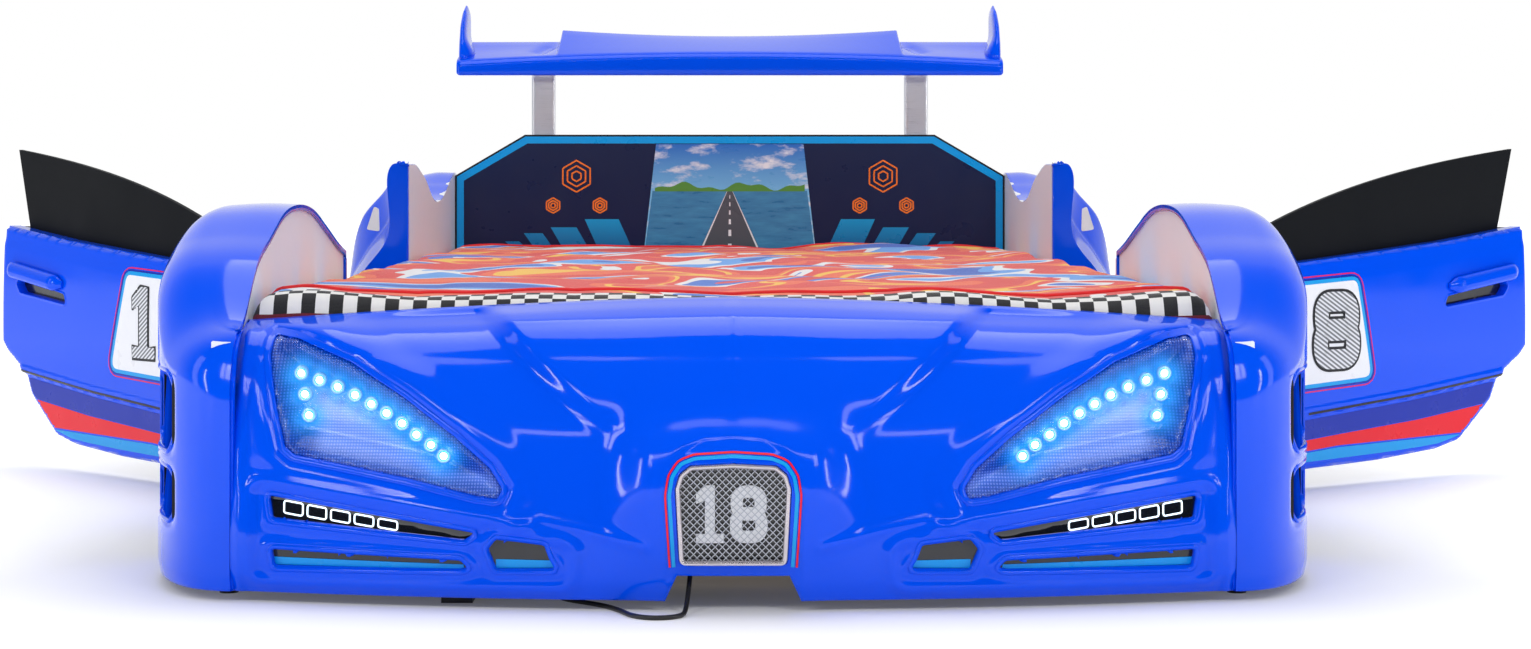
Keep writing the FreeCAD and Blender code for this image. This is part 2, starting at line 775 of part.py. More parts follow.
SEAM_GAP = 0.7
outer_form = fender_form(0, skirt, seam + SEAM_GAP)
inner_form = fender_form(wall, skirt - 1, seam + SEAM_GAP)
fender = outer_form.cut(inner_form)
fender = fender.cut(block(seam - 5, bay_half, -943, 0, 0, 500))
flange_runs = ((-1012, -850), (-462, size("fender_rear") - wall + 1))
for y0, y1 in flange_runs:
    foot = block(outer_face + fit, 575, y0, y1, skirt, skirt + wall).common(outer_form)
    tab = block(outer_face + fit, outer_face + fit + wall, y0, y1, skirt, FLANGE_TOP)
    fender = fender.fuse([foot, tab])
cuts = [rod_x(size("front_axle"), axle_z, size("tyre_radius") + size("arch_gap"), 500, 600)]
for z0, z1 in VENT_ZS:
    cuts.append(block(VENT_X, 600, *VENT_YS, z0, z1))
fender = fender.cut(cuts + [board_envelope] + screw_holes)
both_sides("front_fender", fender)

# Black trays behind the scoops.
tray = plan_prism(wall + fit, PLAN_INNER, -700, 60, 217).cut(
    plan_prism(28, PLAN_INNER - 5, -690, 50, 230))
tray = tray.common(block(VENT_X - 8, 600, -990, -850, 0, 300))
pockets = []
for z0, z1 in VENT_ZS:
    pocket = plan_prism(wall, PLAN_INNER, -700, z0, z1).cut(
        plan_prism(25, PLAN_INNER - 5, -690, 50, 230))
    pockets.append(pocket.common(block(VENT_X - 4, 600, *VENT_YS, z0, z1)))
tray = tray.cut(pockets)
shaped("fender_vents", Part.makeCompound([tray, mirror_x(tray)]))

# ---------------------------------------------------------------- rear quarters

def height_on(points, y):
    """Height of the smooth line through (y, z) points at y."""
    curve = Part.BSplineCurve()
    curve.interpolate([Vector(0, v, w) for v, w in points])
    low, high = curve.FirstParameter, curve.LastParameter
    for _ in range(40):
        middle = (low + high) / 2
        if curve.value(middle).y < y:
            low = middle
        else:
            high = middle
    return curve.value(low).z


# Cross sections of the rear quarter: Y, then (x, drop below the top edge or z).
QUARTER_KNOTS = [
    (342, [(494.5, 0), (502, -107), (538, -158), (562, -199)]),
    (425, [(495.5, 0), (510, -80), (545, -131), (570, -181)]),
    (486, [(498, 0), (530, -36), (558, -70), (574, -132)]),
    (700, [(505, 0), (540, -4), (562, -28), (575, -75)]),
    (900, [(505, 0), (540, -12), (563, -45), (575, -105)]),
    (1000, [(505, 0), (540, -12), (563, -48), (575, -115)]),
    (1110, [(500, -4), (530, -16), (552, -45), (566, -105)]),
]
QUARTER_STEPS = 22
QUARTER_TAIL_TOP = 345
jamb = size("doorway_rear") - wall - fit


def quarter_chain(y):
    """The quarter's outline in the plane at y, from the board's edge outward and down."""
    line = rear_line(lap)
    if y < line[0][0]:
        top = line[0][1]
    elif y < line[-1][0]:
        top = height_on(line, y)
    else:
        share = (y - line[-1][0]) / (size("tail_y") - line[-1][0])
        top = line[-1][1] + (QUARTER_TAIL_TOP - line[-1][1]) * share ** 2
    knots = QUARTER_KNOTS
    span = [k for k in range(len(knots) - 1) if knots[k][0] <= y][-1]
    share = (y - knots[span][0]) / (knots[span + 1][0] - knots[span][0])
    middle = []
    for (x0, d0), (x1, d1) in zip(knots[span][1], knots[span + 1][1]):
        middle.append((x0 + (x1 - x0) * share, top + d0 + (d1 - d0) * share))
    widest = middle[-1][0]
    return [(bay_half, top)] + middle + [(min(widest + 8, 575), 110), (widest - 6, skirt)]


span_y = size("tail_y") - jamb
quarter_ys = [jamb + span_y * i / QUARTER_STEPS for i in range(QUARTER_STEPS + 1)]
quarter_ys[0] += 0.001
quarter_ys[-1] -= 0.001
quarter = layer(quarter_chain, quarter_ys, "y", 0, wall)


def end_wall(y, thick, inner_x):
    """A wall that closes the quarter at one end."""
    ring = [(inner_x, skirt)] + [(inner_x, quarter_chain(y)[0][1])] + quarter_chain(y)[1:]
    return prism_y(shrunk(ring), y, y + thick)


def shrunk(points):
    """The outline drawn in by half a wall, so that it ends inside the skin."""
    return grown(points, -wall / 2)


jamb_wall = end_wall(quarter_ys[0], wall, bay_half - 6)
jamb_wall = jamb_wall.cut(block(bay_half - 10, bay_half + fit, jamb - 1, jamb + 10, 0, 290))
tail_wall = end_wall(quarter_ys[-1], -wall, bay_half)
quarter = quarter.fuse([jamb_wall, tail_wall])
for y0, y1 in ((jamb + 1, 522), (868, 1000)):
    foot = block(outer_face + fit, 568, y0, y1, skirt, skirt + wall)
    tab = block(outer_face + fit, outer_face + fit + wall, y0, y1, skirt, FLANGE_TOP)
    quarter = quarter.fuse([foot, tab])
arch = rod_x(size("rear_axle"), axle_z, size("tyre_radius") + size("arch_gap"), 500, 600)
quarter = quarter.cut([arch, board_envelope] + screw_holes)
both_sides("rear_quarter", quarter)

# ---------------------------------------------------------------- rear bumper

REAR_HALF = bay_half - 0.6
board_back = size("bay_rear") + board


def tail_chain(x):
    """The rear bumper's outline in the plane at x, from the headboard back and down."""
    tail = size("tail_y")
    start = board_back + fit
    return [
        (start, 336),
        (start + 52, 330),
        (tail - 22, 305),
        (tail - 4, 260),
        (tail, 200),
        (tail, 40),
        (tail - 6, skirt),
    ]


TAIL_LIGHT = [(300, 215), (440, 215), (440, 262), (320, 262)]
tail = layer(tail_chain, (-REAR_HALF, REAR_HALF), "x", 0, wall)
for x in (-REAR_HALF, REAR_HALF - wall):
    tail = tail.fuse(layer(tail_chain, (x, x + wall), "x", wall - 1, 20))
tail_tab = block(-440, 440, board_back + fit, board_back + fit + wall, 292, 334)
TAIL_SCREWS = (-200, -80, 80, 200)
TAIL_SCREW_Z = 305
tail_holes = [
    rod_y(x, TAIL_SCREW_Z, SCREW_RADIUS + fit, board_back - 12, board_back + wall + 2)
    for x in TAIL_SCREWS
]
post_half = size("post_width") / 2
post_slots = [
    block(side * size("post_x") - post_half - 1, side * size("post_x") + post_half + 1,
          board_back - 1, board_back + size("post_depth") + 2, 280, 345)
    for side in (LEFT, RIGHT)
]
light_cuts = [prism_y(TAIL_LIGHT, 1060, 1130), prism_y(mirrored_points(TAIL_LIGHT), 1060, 1130)]
headboard_space = block(-bay_half, bay_half, size("bay_rear") - 30, board_back + fit, 0, 480)
tail = tail.fuse(tail_tab).cut(tail_holes + post_slots + light_cuts + [headboard_space])
shaped("rear_bumper", tail)

light_layer = layer(tail_chain, (-REAR_HALF + 6, REAR_HALF - 6), "x", 1, wall)
seat_layer = layer(tail_chain, (-REAR_HALF + 6, REAR_HALF - 6), "x", wall + fit, wall + 4)
lights = []
for outline_points in (TAIL_LIGHT, mirrored_points(TAIL_LIGHT)):
    lens = prism_y(grown(outline_points, -fit), 1060, 1130).common(light_layer)
    seat = prism_y(grown(outline_points, 6), 1060, 1130).common(seat_layer)
    neck = layer(tail_chain, (-REAR_HALF + 6, REAR_HALF - 6), "x", 1, wall + 4)
    neck = neck.common(prism_y(grown(outline_points, -fit), 1060, 1130))
    lights.append(lens.fuse([seat, neck]).removeSplitter())
shaped("tail_lights", Part.makeCompound(lights))

# ---------------------------------------------------------------- spoiler

WING_KNOTS = [0, 150, 292, 300, 400, 466]


def wing_ring(x, inset):
    """The wing's closed section at x as (y, z) points, drawn in by a wall."""
    share = abs(x) / size("wing_half")
    low = size("wing_bottom") + inset
    front = size("wing_front") + inset
    rear = size("wing_rear") - inset
    front_top = size("wing_bottom") + 40 - 14 * share ** 2 - inset
    if abs(x) <= 292:
        rear_top = size("wing_bottom") + 76 + 11 * (abs(x) / 292) ** 2 - inset
    else:
        rear_top = size("wing_bottom") + 66 - inset
    return [
        (front, low),
        (front + 40, low),
        (rear, low + 38),
        (rear, rear_top),
        (front + 85, (front_top + rear_top) / 2 + 3),
        (front + 8, front_top),
        (front, front_top - 8),
    ]


def wing_loft(inset, half_span):
    """The wing's plank as a ruled loft through its sections."""
    xs = sorted({side * min(x, half_span) for x in WING_KNOTS for side in (LEFT, RIGHT)})
    wires = []
    for x in xs:
        corners = [Vector(x, y, z) for y, z in wing_ring(x, inset)]
        wires.append(Part.makePolygon(corners + corners[:1]))
    return Part.makeLoft(wires, True, True)


WINGLET = [
    (980, 590), (992, 628), (1012, 664), (1038, 690), (1068, 700), (1112, 692), (1112, 615),
]
winglet_rise = size("winglet_top") - 700
winglet_points = [(y, z + winglet_rise * (z > 620)) for y, z in WINGLET]
wing = wing_loft(0, size("wing_half")).cut(wing_loft(wall, size("wing_half") - 24))
winglets = []
for side in (LEFT, RIGHT):
    xs = sorted((side * (size("wing_half") - 17), side * (size("wing_half") - 1)))
    winglets.append(prism_x(winglet_points, *xs))
wing = wing.fuse(winglets)
BOLT_RADIUS = 3
BOLT_Y = board_back + fit + size("post_depth") / 2 + 20
bolt_sites = [
    (side * size("post_x") + step, BOLT_Y) for side in (LEFT, RIGHT) for step in (-12, 12)
]


def rod_z(x, y, radius, z0, z1):
    """A round rod along Z."""
    return Part.makeCylinder(radius, z1 - z0, Vector(x, y, z0))


wing_bottom = size("wing_bottom")
wing_holes = [rod_z(x, y, BOLT_RADIUS + fit, wing_bottom - 6, wing_bottom + 12)
              for x, y in bolt_sites]
shaped("spoiler_wing", wing.cut(wing_holes))

PLATE = 4
post_bolts = []
for side_name, side in SIDES:
    x = side * size("post_x")
    y0 = board_back + fit
    upright = block(x - post_half, x + post_half, y0, y0 + size("post_depth"),
                    size("post_bottom"), wing_bottom - fit)
    bore = block(x - post_half + 2, x + post_half - 2, y0 + 2, y0 + size("post_depth") - 2,
                 size("post_bottom") - 1, wing_bottom - PLATE - fit)
    plate = block(x - post_half, x + post_half, y0, y0 + 42,
                  wing_bottom - PLATE - fit, wing_bottom - fit)
    holes = wing_holes + [
        rod_y(x, z, BOLT_RADIUS + fit, board_back - 14, board_back + 30)
        for z in (275, 390)
    ]
    post = upright.cut(bore).fuse(plate).cut(holes)
    shaped(f"spoiler_post_{side_name}", post)
    for z in (275, 390):
        post_bolts.append((x, z))

headboard_holes = tail_holes + [
    rod_y(x, z, BOLT_RADIUS + fit, board_back - 14, board_back + 1) for x, z in post_bolts
]
shaped("headboard", headboard_blank.Shape.cut(headboard_holes))

bolts = []
for x, z in post_bolts:
    y0 = board_back + fit + size("post_depth")
    bolts.append(rod_y(x, z, BOLT_RADIUS, board_back - 13, y0 + 1).fuse(
        rod_y(x, z, BOLT_RADIUS + 3, y0 + fit, y0 + 4)))
for x, y in bolt_sites:
    z0 = wing_bottom - PLATE - fit
    bolts.append(rod_z(x, y, BOLT_RADIUS, z0 - 1, wing_bottom + 11).fuse(
        rod_z(x, y, BOLT_RADIUS + 3, z0 - 4, z0 - fit)))
shaped("spoiler_bolts", Part.makeCompound(bolts))

# Screws of the shells: head on the board's inner face, shank through the flange.
screws = []
for side_name, side in SIDES:
    for y in screw_ys:
        head = rod_x(y, SCREW_Z, SCREW_HEAD, bay_half - fit - SCREW_HEAD_THICK, bay_half - fit)
        shank = rod_x(y, SCREW_Z, SCREW_RADIUS, bay_half - 1, outer_face + wall + 1)
        screw = head.fuse(shank)
        screws.append(screw if side == RIGHT else mirror_x(screw))
for x in FOOT_SCREWS:
    y0 = size("bay_front")
    screws.append(rod_y(x, FOOT_SCREW_Z, SCREW_RADIUS, footboard_front - 7, y0 + 1).fuse(
        rod_y(x, FOOT_SCREW_Z, SCREW_HEAD, y0 + fit, y0 + fit + SCREW_HEAD_THICK)))
for x in TAIL_SCREWS:
    y0 = board_back + fit + wall
    screws.append(rod_y(x, TAIL_SCREW_Z, SCREW_RADIUS, board_back - 11, y0 + 1).fuse(
        rod_y(x, TAIL_SCREW_Z, SCREW_HEAD, y0 + fit, y0 + fit + SCREW_HEAD_THICK)))
shaped("shell_screws", Part.makeCompound(screws))

# ---------------------------------------------------------------- doors

# A door is drawn closed, on the right-hand side. Along it, distances are taken
# from the hinge pin; afterwards it is turned open about the pin.
hinge_x = size("hinge_x")
hinge_y = size("hinge_y")
door_front = size("door_gap")
door_rear = size("door_length")
skin_outer = size("body_half")
skin_inner = skin_outer - size("door_depth") + fit
liner_inner = skin_inner - fit - size("liner_thick")
window_inner = skin_inner - fit - size("window_thick")
BAND_DEPTH = 8

DOOR_EDGE = [
    (190, 28), (330, 32), (442, 40), (485, 49), (548, 99), (568, 139), (600, 158),
]
DOOR_TOP = [(459, 313), (312, 300), (168, 288)]
BAND_LINE = [(-10, 74), (190, 96), (380, 111), (564, 131), (640, 143)]


def door_outline():
    """The door's outline as (distance, z) points, from its lower front corner."""
    return ([(door_front, 30)] + DOOR_EDGE
            + [(door_rear, 170), (door_rear, 331)] + DOOR_TOP + [(door_front, 283)])


def door_prism(points, x0, x1):
    """A plate of the closed door between two X planes, from (distance, z) points."""
    return prism_x([(hinge_y + along, z) for along, z in points], x0, x1)


GRIP = [(450, 243), (456, 262), (472, 268), (578, 286), (590, 280), (592, 262)]
GRIP_REACH = 14
GRIP_WALL = 3
FINGER_SLOT = [(444, 227), (450, 241), (566, 259), (572, 252), (562, 240)]
SLOT_FLOOR = 16

below_line = BAND_LINE + [(640, 0), (-10, 0)]
raised_line = [(along, z + wall) for along, z in BAND_LINE] + [(640, 0), (-10, 0)]
whole = door_outline()
hollow = grown(whole, -wall)
skin = door_prism(whole, skin_inner, skin_outer)
skin = skin.cut(door_prism(below_line, skin_outer - BAND_DEPTH, skin_outer + 1))
cavity = door_prism(hollow, skin_inner - 1, skin_outer - wall)
cavity = cavity.cut(
    door_prism(raised_line, skin_outer - wall - BAND_DEPTH, skin_outer + 1))
slot_block = door_prism(grown(FINGER_SLOT, wall), skin_outer - SLOT_FLOOR, skin_outer - 1)
slot_hole = door_prism(FINGER_SLOT, skin_outer - SLOT_FLOOR + wall, skin_outer + 1)
skin = skin.cut(cavity).fuse(slot_block).cut(slot_hole)

WINDOW_TOP = [(141, 334), (299, 383), (459, 415), (616, 436)]


def window_face(x, grow):
    """The window's outline in the plane at x: curved top, slanted rear edge."""
    top = [(hinge_y + along, z + grow) for along, z in WINDOW_TOP]
    foot_rear = (hinge_y + 568 + grow, 262 - grow)
    foot_front = (hinge_y + 60 - grow, 250 - grow)
    front = (hinge_y + 60 - grow, 284 + grow)
    edges = [
        line_x(x, front, top[0]),
        spline_x(x, top),
        line_x(x, top[-1], foot_rear),
        line_x(x, foot_rear, foot_front),
        line_x(x, foot_front, front),
    ]
    return Part.Face(Part.Wire(edges))


window = window_face(window_inner, 0).extrude(
    Vector(size("window_thick"), 0, 0))
rebate = window_face(window_inner - fit, fit).extrude(
    Vector(size("window_thick") + fit + 5, 0, 0))
liner = door_prism(grown(whole, -1), liner_inner, skin_inner - fit).cut(rebate)

grip = door_prism(GRIP, skin_outer + fit, skin_outer + GRIP_REACH)
GRIP_HOLLOW = [(440, 225), (455, 252), (580, 273), (605, 255)]
grip = grip.cut(door_prism(GRIP_HOLLOW, skin_outer - 1, skin_outer + GRIP_REACH - GRIP_WALL))

# Hinges: two knuckles on the bracket with the leaf's knuckle between them.
knuckle_pitch = size("knuckle_height") + size("knuckle_gap")
pin_bore = size("pin_radius") + size("pin_play")
knuckle = size("knuckle_radius")
leaf = size("leaf_thick")
fender_back = size("fender_rear")


def knuckle_barrel(z0):
    """One knuckle of the hinge, before its bore is cut."""
    return rod_z(hinge_x, hinge_y, knuckle, z0, z0 + size("knuckle_height"))


brackets = []
leaves = []
pins = []
for low in (size("hinge_low"), size("hinge_high")):
    top = low + 2 * knuckle_pitch + size("knuckle_height")
    bore = rod_z(hinge_x, hinge_y, pin_bore, low - 5, top + 5)
    bracket = block(outer_face + fit, outer_face + fit + leaf, fender_back + fit,
                    -278, low, top)
    bracket = bracket.fuse(block(outer_face + fit, hinge_x + 4, fender_back + fit,
                                 fender_back + fit + leaf, low, top))
    for z0 in (low, low + 2 * knuckle_pitch):
        web = block(hinge_x - 4, hinge_x + 4, fender_back + fit, hinge_y, z0,
                    z0 + size("knuckle_height"))
        bracket = bracket.fuse([web, knuckle_barrel(z0)])
    brackets.append(bracket.cut(bore))
    plate_front = hinge_y + door_front - fit - leaf
    plate = block(liner_inner + 2, hinge_x - knuckle - 1, plate_front,
                  plate_front + leaf, low, top)
    z0 = low + knuckle_pitch
    bridge = block(hinge_x - knuckle - 2, hinge_x, plate_front, plate_front + leaf,
                   z0, z0 + size("knuckle_height"))
    leaves.append(plate.fuse([bridge, knuckle_barrel(z0)]).cut(bore))
    pin = rod_z(hinge_x, hinge_y, size("pin_radius"), low - 2, top + 1)
    head = rod_z(hinge_x, hinge_y, size("pin_radius") + 1.5, top, top + 2)
    pins.append(pin.fuse(head))

bracket_pair = Part.makeCompound(brackets)
both_sides("hinge_bracket", bracket_pair)
shaped("hinge_pins", Part.makeCompound(pins + [mirror_x(pin) for pin in pins]))

DOOR_PIECES = {
    "door_skin": skin,
    "door_liner": liner,
    "door_window": window,
    "door_grip": grip,
    "hinge_leaf": Part.makeCompound(leaves),
}
for side_name, side in SIDES:
    opening = size(f"open_{side_name}")
    swing = Placement(
        Vector(0, 0, 0), Rotation(Vector(0, 0, 1), -side * opening),
        Vector(side * hinge_x, hinge_y, 0))
    for piece, shape in DOOR_PIECES.items():
        closed = shape if side == RIGHT else mirror_x(shape)
        shaped(f"{piece}_{side_name}", closed, swing)

# Catch magnets on the jambs, just behind the closed doors.
magnet = block(530, 550, hinge_y + door_rear + 3, jamb - fit, 225, 255)
shaped("catch_magnets", Part.makeCompound([magnet, mirror_x(magnet)]))

# ---------------------------------------------------------------- wheels

for end_name, axle in (("front", "front_axle"), ("rear", "rear_axle")):
    for side_name, side in SIDES:
        tyre = doc.addObject("PartDesign::Body", f"tyre_{end_name}_{side_name}")
        section = sketch_on(tyre, "XZ_Plane", f"tyre_section_{end_name}_{side_name}")
        near = f"{side} * {S}tyre_inner_x"
        far = f"{side} * ({S}tyre_inner_x + {S}tyre_width)"
        near_in = f"{side} * ({S}tyre_inner_x + 10)"
        far_in = f"{side} * ({S}tyre_inner_x + {S}tyre_width - 10)"
        sketch_outline(section, [
            (near, f"{S}rim_radius + {S}fit"),
            (far, f"{S}rim_radius + {S}fit"),
            (far, f"{S}tyre_radius - 12"),
            (far_in, f"{S}tyre_radius"),
            (near_in, f"{S}tyre_radius"),
            (near, f"{S}tyre_radius - 12"),
        ])
        turn = tyre.newObject("PartDesign::Revolution", f"tyre_ring_{end_name}_{side_name}")
        turn.Profile = section
        turn.ReferenceAxis = (section, ["H_Axis"])
        turn.Angle = 360
        tyre.setExpression("Placement.Base.y", f"{S}{axle}")
        tyre.setExpression("Placement.Base.z", f"{S}axle_height")
        name_part(tyre, f"tyre_{end_name}_{side_name}")

RIM_WINDOWS = 7
for end_name, axle in (("front", "front_axle"), ("rear", "rear_axle")):
    for side_name, side in SIDES:
        tag = f"{end_name}_{side_name}"
        rim = doc.addObject("PartDesign::Body", f"rim_{tag}")
        section = sketch_on(rim, "XZ_Plane", f"rim_section_{tag}")
        hub = f"{side} * ({S}bay_width / 2 + {S}board_thick + {S}fit)"
        near = f"{side} * ({S}tyre_inner_x + 2)"
        far = f"{side} * ({S}tyre_inner_x + {S}tyre_width - 2)"
        disc_in = f"{side} * ({S}tyre_inner_x + {S}tyre_width - 26)"
        disc_out = f"{side} * ({S}tyre_inner_x + {S}tyre_width - 16)"
        sketch_outline(section, [
            (hub, "0"),
            (disc_out, "0"),
            (disc_out, f"{S}rim_radius - 5"),
            (far, f"{S}rim_radius - 5"),
            (far, f"{S}rim_radius"),
            (near, f"{S}rim_radius"),
            (near, f"{S}rim_radius - 5"),
            (disc_in, f"{S}rim_radius - 5"),
            (disc_in, "30"),
            (hub, "30"),
        ])
        turn = rim.newObject("PartDesign::Revolution", f"rim_dish_{tag}")
        turn.Profile = section
        turn.ReferenceAxis = (section, ["H_Axis"])
        turn.Angle = 360
        hole = sketch_on(rim, "YZ_Plane", f"rim_window_{tag}")
        hole.addGeometry(Part.Circle(Vector(0, 68, 0), Vector(0, 0, 1), 20))
        middle = hole.addConstraint(Sketcher.Constraint("DistanceY", -1, 1, 0, 3, 68))
        hole.setExpression(f"Constraints[{middle}]", f"({S}rim_radius + 28) / 2")
        hole.addConstraint(Sketcher.Constraint("DistanceX", -1, 1, 0, 3, 0))
        radius = hole.addConstraint(Sketcher.Constraint("Radius", 0, 20))
        hole.setExpression(f"Constraints[{radius}]", f"({S}rim_radius - 28) / 4")
        doc.recompute()
        cut = rim.newObject("PartDesign::Pocket", f"rim_cut_{tag}")
        cut.Profile = hole
        cut.Type = "ThroughAll"
        cut.Midplane = True
        spokes = rim.newObject("PartDesign::PolarPattern", f"rim_spokes_{tag}")
        spokes.Originals = [cut]
        x_axis = [f for f in rim.Origin.OriginFeatures if f.Role == "X_Axis"][0]
        spokes.Axis = (x_axis, [""])
        spokes.Angle = 360
        spokes.Occurrences = RIM_WINDOWS
        rim.Tip = spokes
        rim.setExpression("Placement.Base.y", f"{S}{axle}")
        rim.setExpression("Placement.Base.z", f"{S}axle_height")
        name_part(rim, f"rim_{tag}")

# ---------------------------------------------------------------- lights

LAMP_WALL = 3
LENS_OUTER = 1
lamp_depth = size("lamp_depth")
RIGHT_STATIONS = [x for x in BUMPER_STATIONS if x >= 0]


def right_layer(outer, inner):
    """A skin under the right half of the bumper's surface."""
    return layer(bumper_chain, RIGHT_STATIONS, "x", outer, inner)


def lamp_prism(points, amount, back=-962):
    """The prism over a lamp's outline, grown by an amount."""
    return prism_y(grown(points, amount), FRONT_CUT[0], back)


rim_zone = lamp_prism(LAMP, 8).common(right_layer(wall + fit, wall + fit + LAMP_WALL))
body_zone = lamp_prism(LAMP, 0).common(right_layer(wall + fit, lamp_depth))
hollow_zone = lamp_prism(LAMP, -LAMP_WALL, -965).common(
    right_layer(wall - 1, lamp_depth - LAMP_WALL))
bowl = rim_zone.fuse(body_zone).cut(hollow_zone)
both_sides("headlight_bowl", bowl)
lens = lamp_prism(LAMP, -fit).common(right_layer(LENS_OUTER, wall))
both_sides("headlight_lens", lens)

led_zone = right_layer(20, lamp_depth - LAMP_WALL - fit)
leds = []
for x, z in LED_ROW:
    leds.append(rod_y(x, z, size("led_radius"), -1130, -966).common(led_zone))
shaped("headlight_leds", Part.makeCompound(leds + [mirror_x(led) for led in leds]))

panel = lamp_prism(RUNNING_LIGHT, 5).common(right_layer(wall + fit, wall + 4))
both_sides("drl_panel", panel)
trims = []
for points in (LOW_SLOT, MIDDLE_SLOT):
    trim = lamp_prism(points, 5).common(right_layer(wall + fit, wall + 4))
    trims += [trim, mirror_x(trim)]
shaped("slot_trims", Part.makeCompound(trims))

# ---------------------------------------------------------------- grille

FRAME_FRONT = -1116
FRAME_BACK = -1084
rim_width = size("grille_rim")
frame_outer = grille_outline()
tube = prism_y(frame_outer, FRAME_FRONT, FRAME_BACK)
tube = tube.cut(prism_y(grown(frame_outer, -rim_width), FRAME_FRONT - 1, FRAME_FRONT + 3))
tube = tube.cut(prism_y(grown(frame_outer, -2), FRAME_FRONT + 3, FRAME_BACK - 2))
frame_seat = prism_y(grown(frame_outer, 7), -1130, -1080).common(
    bumper_layer(wall + fit, wall + fit + 3))
frame_seat = frame_seat.cut(prism_y(grown(frame_outer, -1), -1140, -1070))
shaped("grille_frame", tube.fuse(frame_seat))

mesh_outer = grown(frame_outer, -2 - fit)
mesh_y = FRAME_FRONT + 3 + fit
MESH_THICK = 2
pitch = size("mesh_pitch")
half_diagonal = (pitch - size("mesh_bar") * 1.2) / 2
limits = grown(frame_outer, -rim_width - 1)
mesh_area = Part.Face(Part.makePolygon([Vector(x, 0, z) for x, z in limits + limits[:1]]))
wires = [Part.makePolygon([Vector(x, mesh_y, z) for x, z in mesh_outer + mesh_outer[:1]])]
rows = int(120 / pitch)
for row in range(2 * rows):
    for column in range(-rows, rows + 1):
        x = pitch * (column + 0.5 * (row % 2))
        z = size("grille_low") + pitch * row / 2
        hole = [(x - half_diagonal, z), (x, z - half_diagonal),
                (x + half_diagonal, z), (x, z + half_diagonal)]
        inside = [mesh_area.isInside(Vector(u, 0, v), 0.01, True) for u, v in hole]
        if all(inside):
            wires.append(Part.makePolygon(
                [Vector(u, mesh_y, v) for u, v in hole + hole[:1]]))
mesh_face = Part.makeFace(wires, "Part::FaceMakerBullseye")
shaped("grille_mesh", mesh_face.extrude(Vector(0, MESH_THICK, 0)))

# ---------------------------------------------------------------- electric lead

CONTROL_BOX = (-92, 0, 34, 96)
CONTROL_DEPTH = 56
GLAND_X, GLAND_Z = -38, 50
GLAND_LENGTH = 22
box_front = footboard_front - fit - CONTROL_DEPTH
x0, x1, z0, z1 = CONTROL_BOX
shaped("led_control_box", block(x0, x1, box_front, footboard_front - fit, z0, z1))

cord_radius = size("cord_diameter") / 2
gland_tip = box_front - GLAND_LENGTH
gland = Part.makeCone(8, cord_radius + 1.2, GLAND_LENGTH - fit,
                      Vector(GLAND_X, box_front - fit, GLAND_Z), Vector(0, -1, 0))
shaped("cord_gland", gland)


def corner_arc(before, corner, after, reach):
    """The arc that rounds a corner, starting and ending at a reach from it."""
    into = (corner - before).normalize()
    out = (after - corner).normalize()
    start = corner - into * reach
    end = corner + out * reach
    turn = math.acos(max(-1, min(1, into.dot(out))))
    radius = reach / math.tan(turn / 2)
    bisector = (out - into).normalize()
    middle = corner + bisector * (radius / math.cos(turn / 2) - radius)
    return Part.Arc(start, middle, end).toShape(), start, end, radius


def tube_along(edges, radius):
    """A round tube of a given radius along a smooth chain of edges."""
    path = Part.Wire(edges)
    first = edges[0]
    start = first.valueAt(first.FirstParameter)
    heading = first.tangentAt(first.FirstParameter)
    section = Part.Wire([Part.makeCircle(radius, start, heading)])
    return path.makePipeShell([section], True, False)


coil_pitch = size("cord_diameter") + size("coil_gap")
coil_outer = size("coil_inner") + size("coil_turns") * coil_pitch
coil_x, coil_y = size("coil_x"), size("coil_y")
floor_z = cord_radius

# The lead's route from the gland to the coil, as points chosen by hand.
CORD_ROUTE = [
    (GLAND_X, gland_tip, GLAND_Z),
    (GLAND_X, -1062, GLAND_Z),
    (-39, -1082, 33),
    (-41, -1098, 15),
    (-43, -1114, floor_z + 0.8),
    (-46, -1128, floor_z),
    (-56, -1138, floor_z),
    (-70, -1141, floor_z),
    (-83, -1136, floor_z),
    (-93, -1124, floor_z),
    (-101, -1103, floor_z),
    (-113, -1080, floor_z),
    (-131, -1060, floor_z),
    (-149, -1044, floor_z),
    (-160, -1030, floor_z),
    (coil_x + coil_outer, -1008, floor_z),
    (coil_x + coil_outer, coil_y, floor_z),
]
route = [Vector(*point) for point in CORD_ROUTE]
reaches = []
for before, corner, after in zip(route, route[1:], route[2:]):
    reaches.append(0.48 * min((corner - before).Length, (after - corner).Length))
edges = []
radii = []
here = route[0]
for index, reach in enumerate(reaches, start=1):
    arc, start, end, radius = corner_arc(*route[index - 1:index + 2], reach)
    edges += [Part.makeLine(here, start), arc]
    radii.append(radius)
    here = end
edges.append(Part.makeLine(here, route[-1]))
cord = tube_along(edges, cord_radius)
cord_length = sum(edge.Length for edge in edges)
print("lead radii", [round(radius, 1) for radius in radii])
print("lead volume over section times length",
      round(cord.Volume / (math.pi * cord_radius ** 2 * cord_length), 4))
shaped("power_cord", cord)

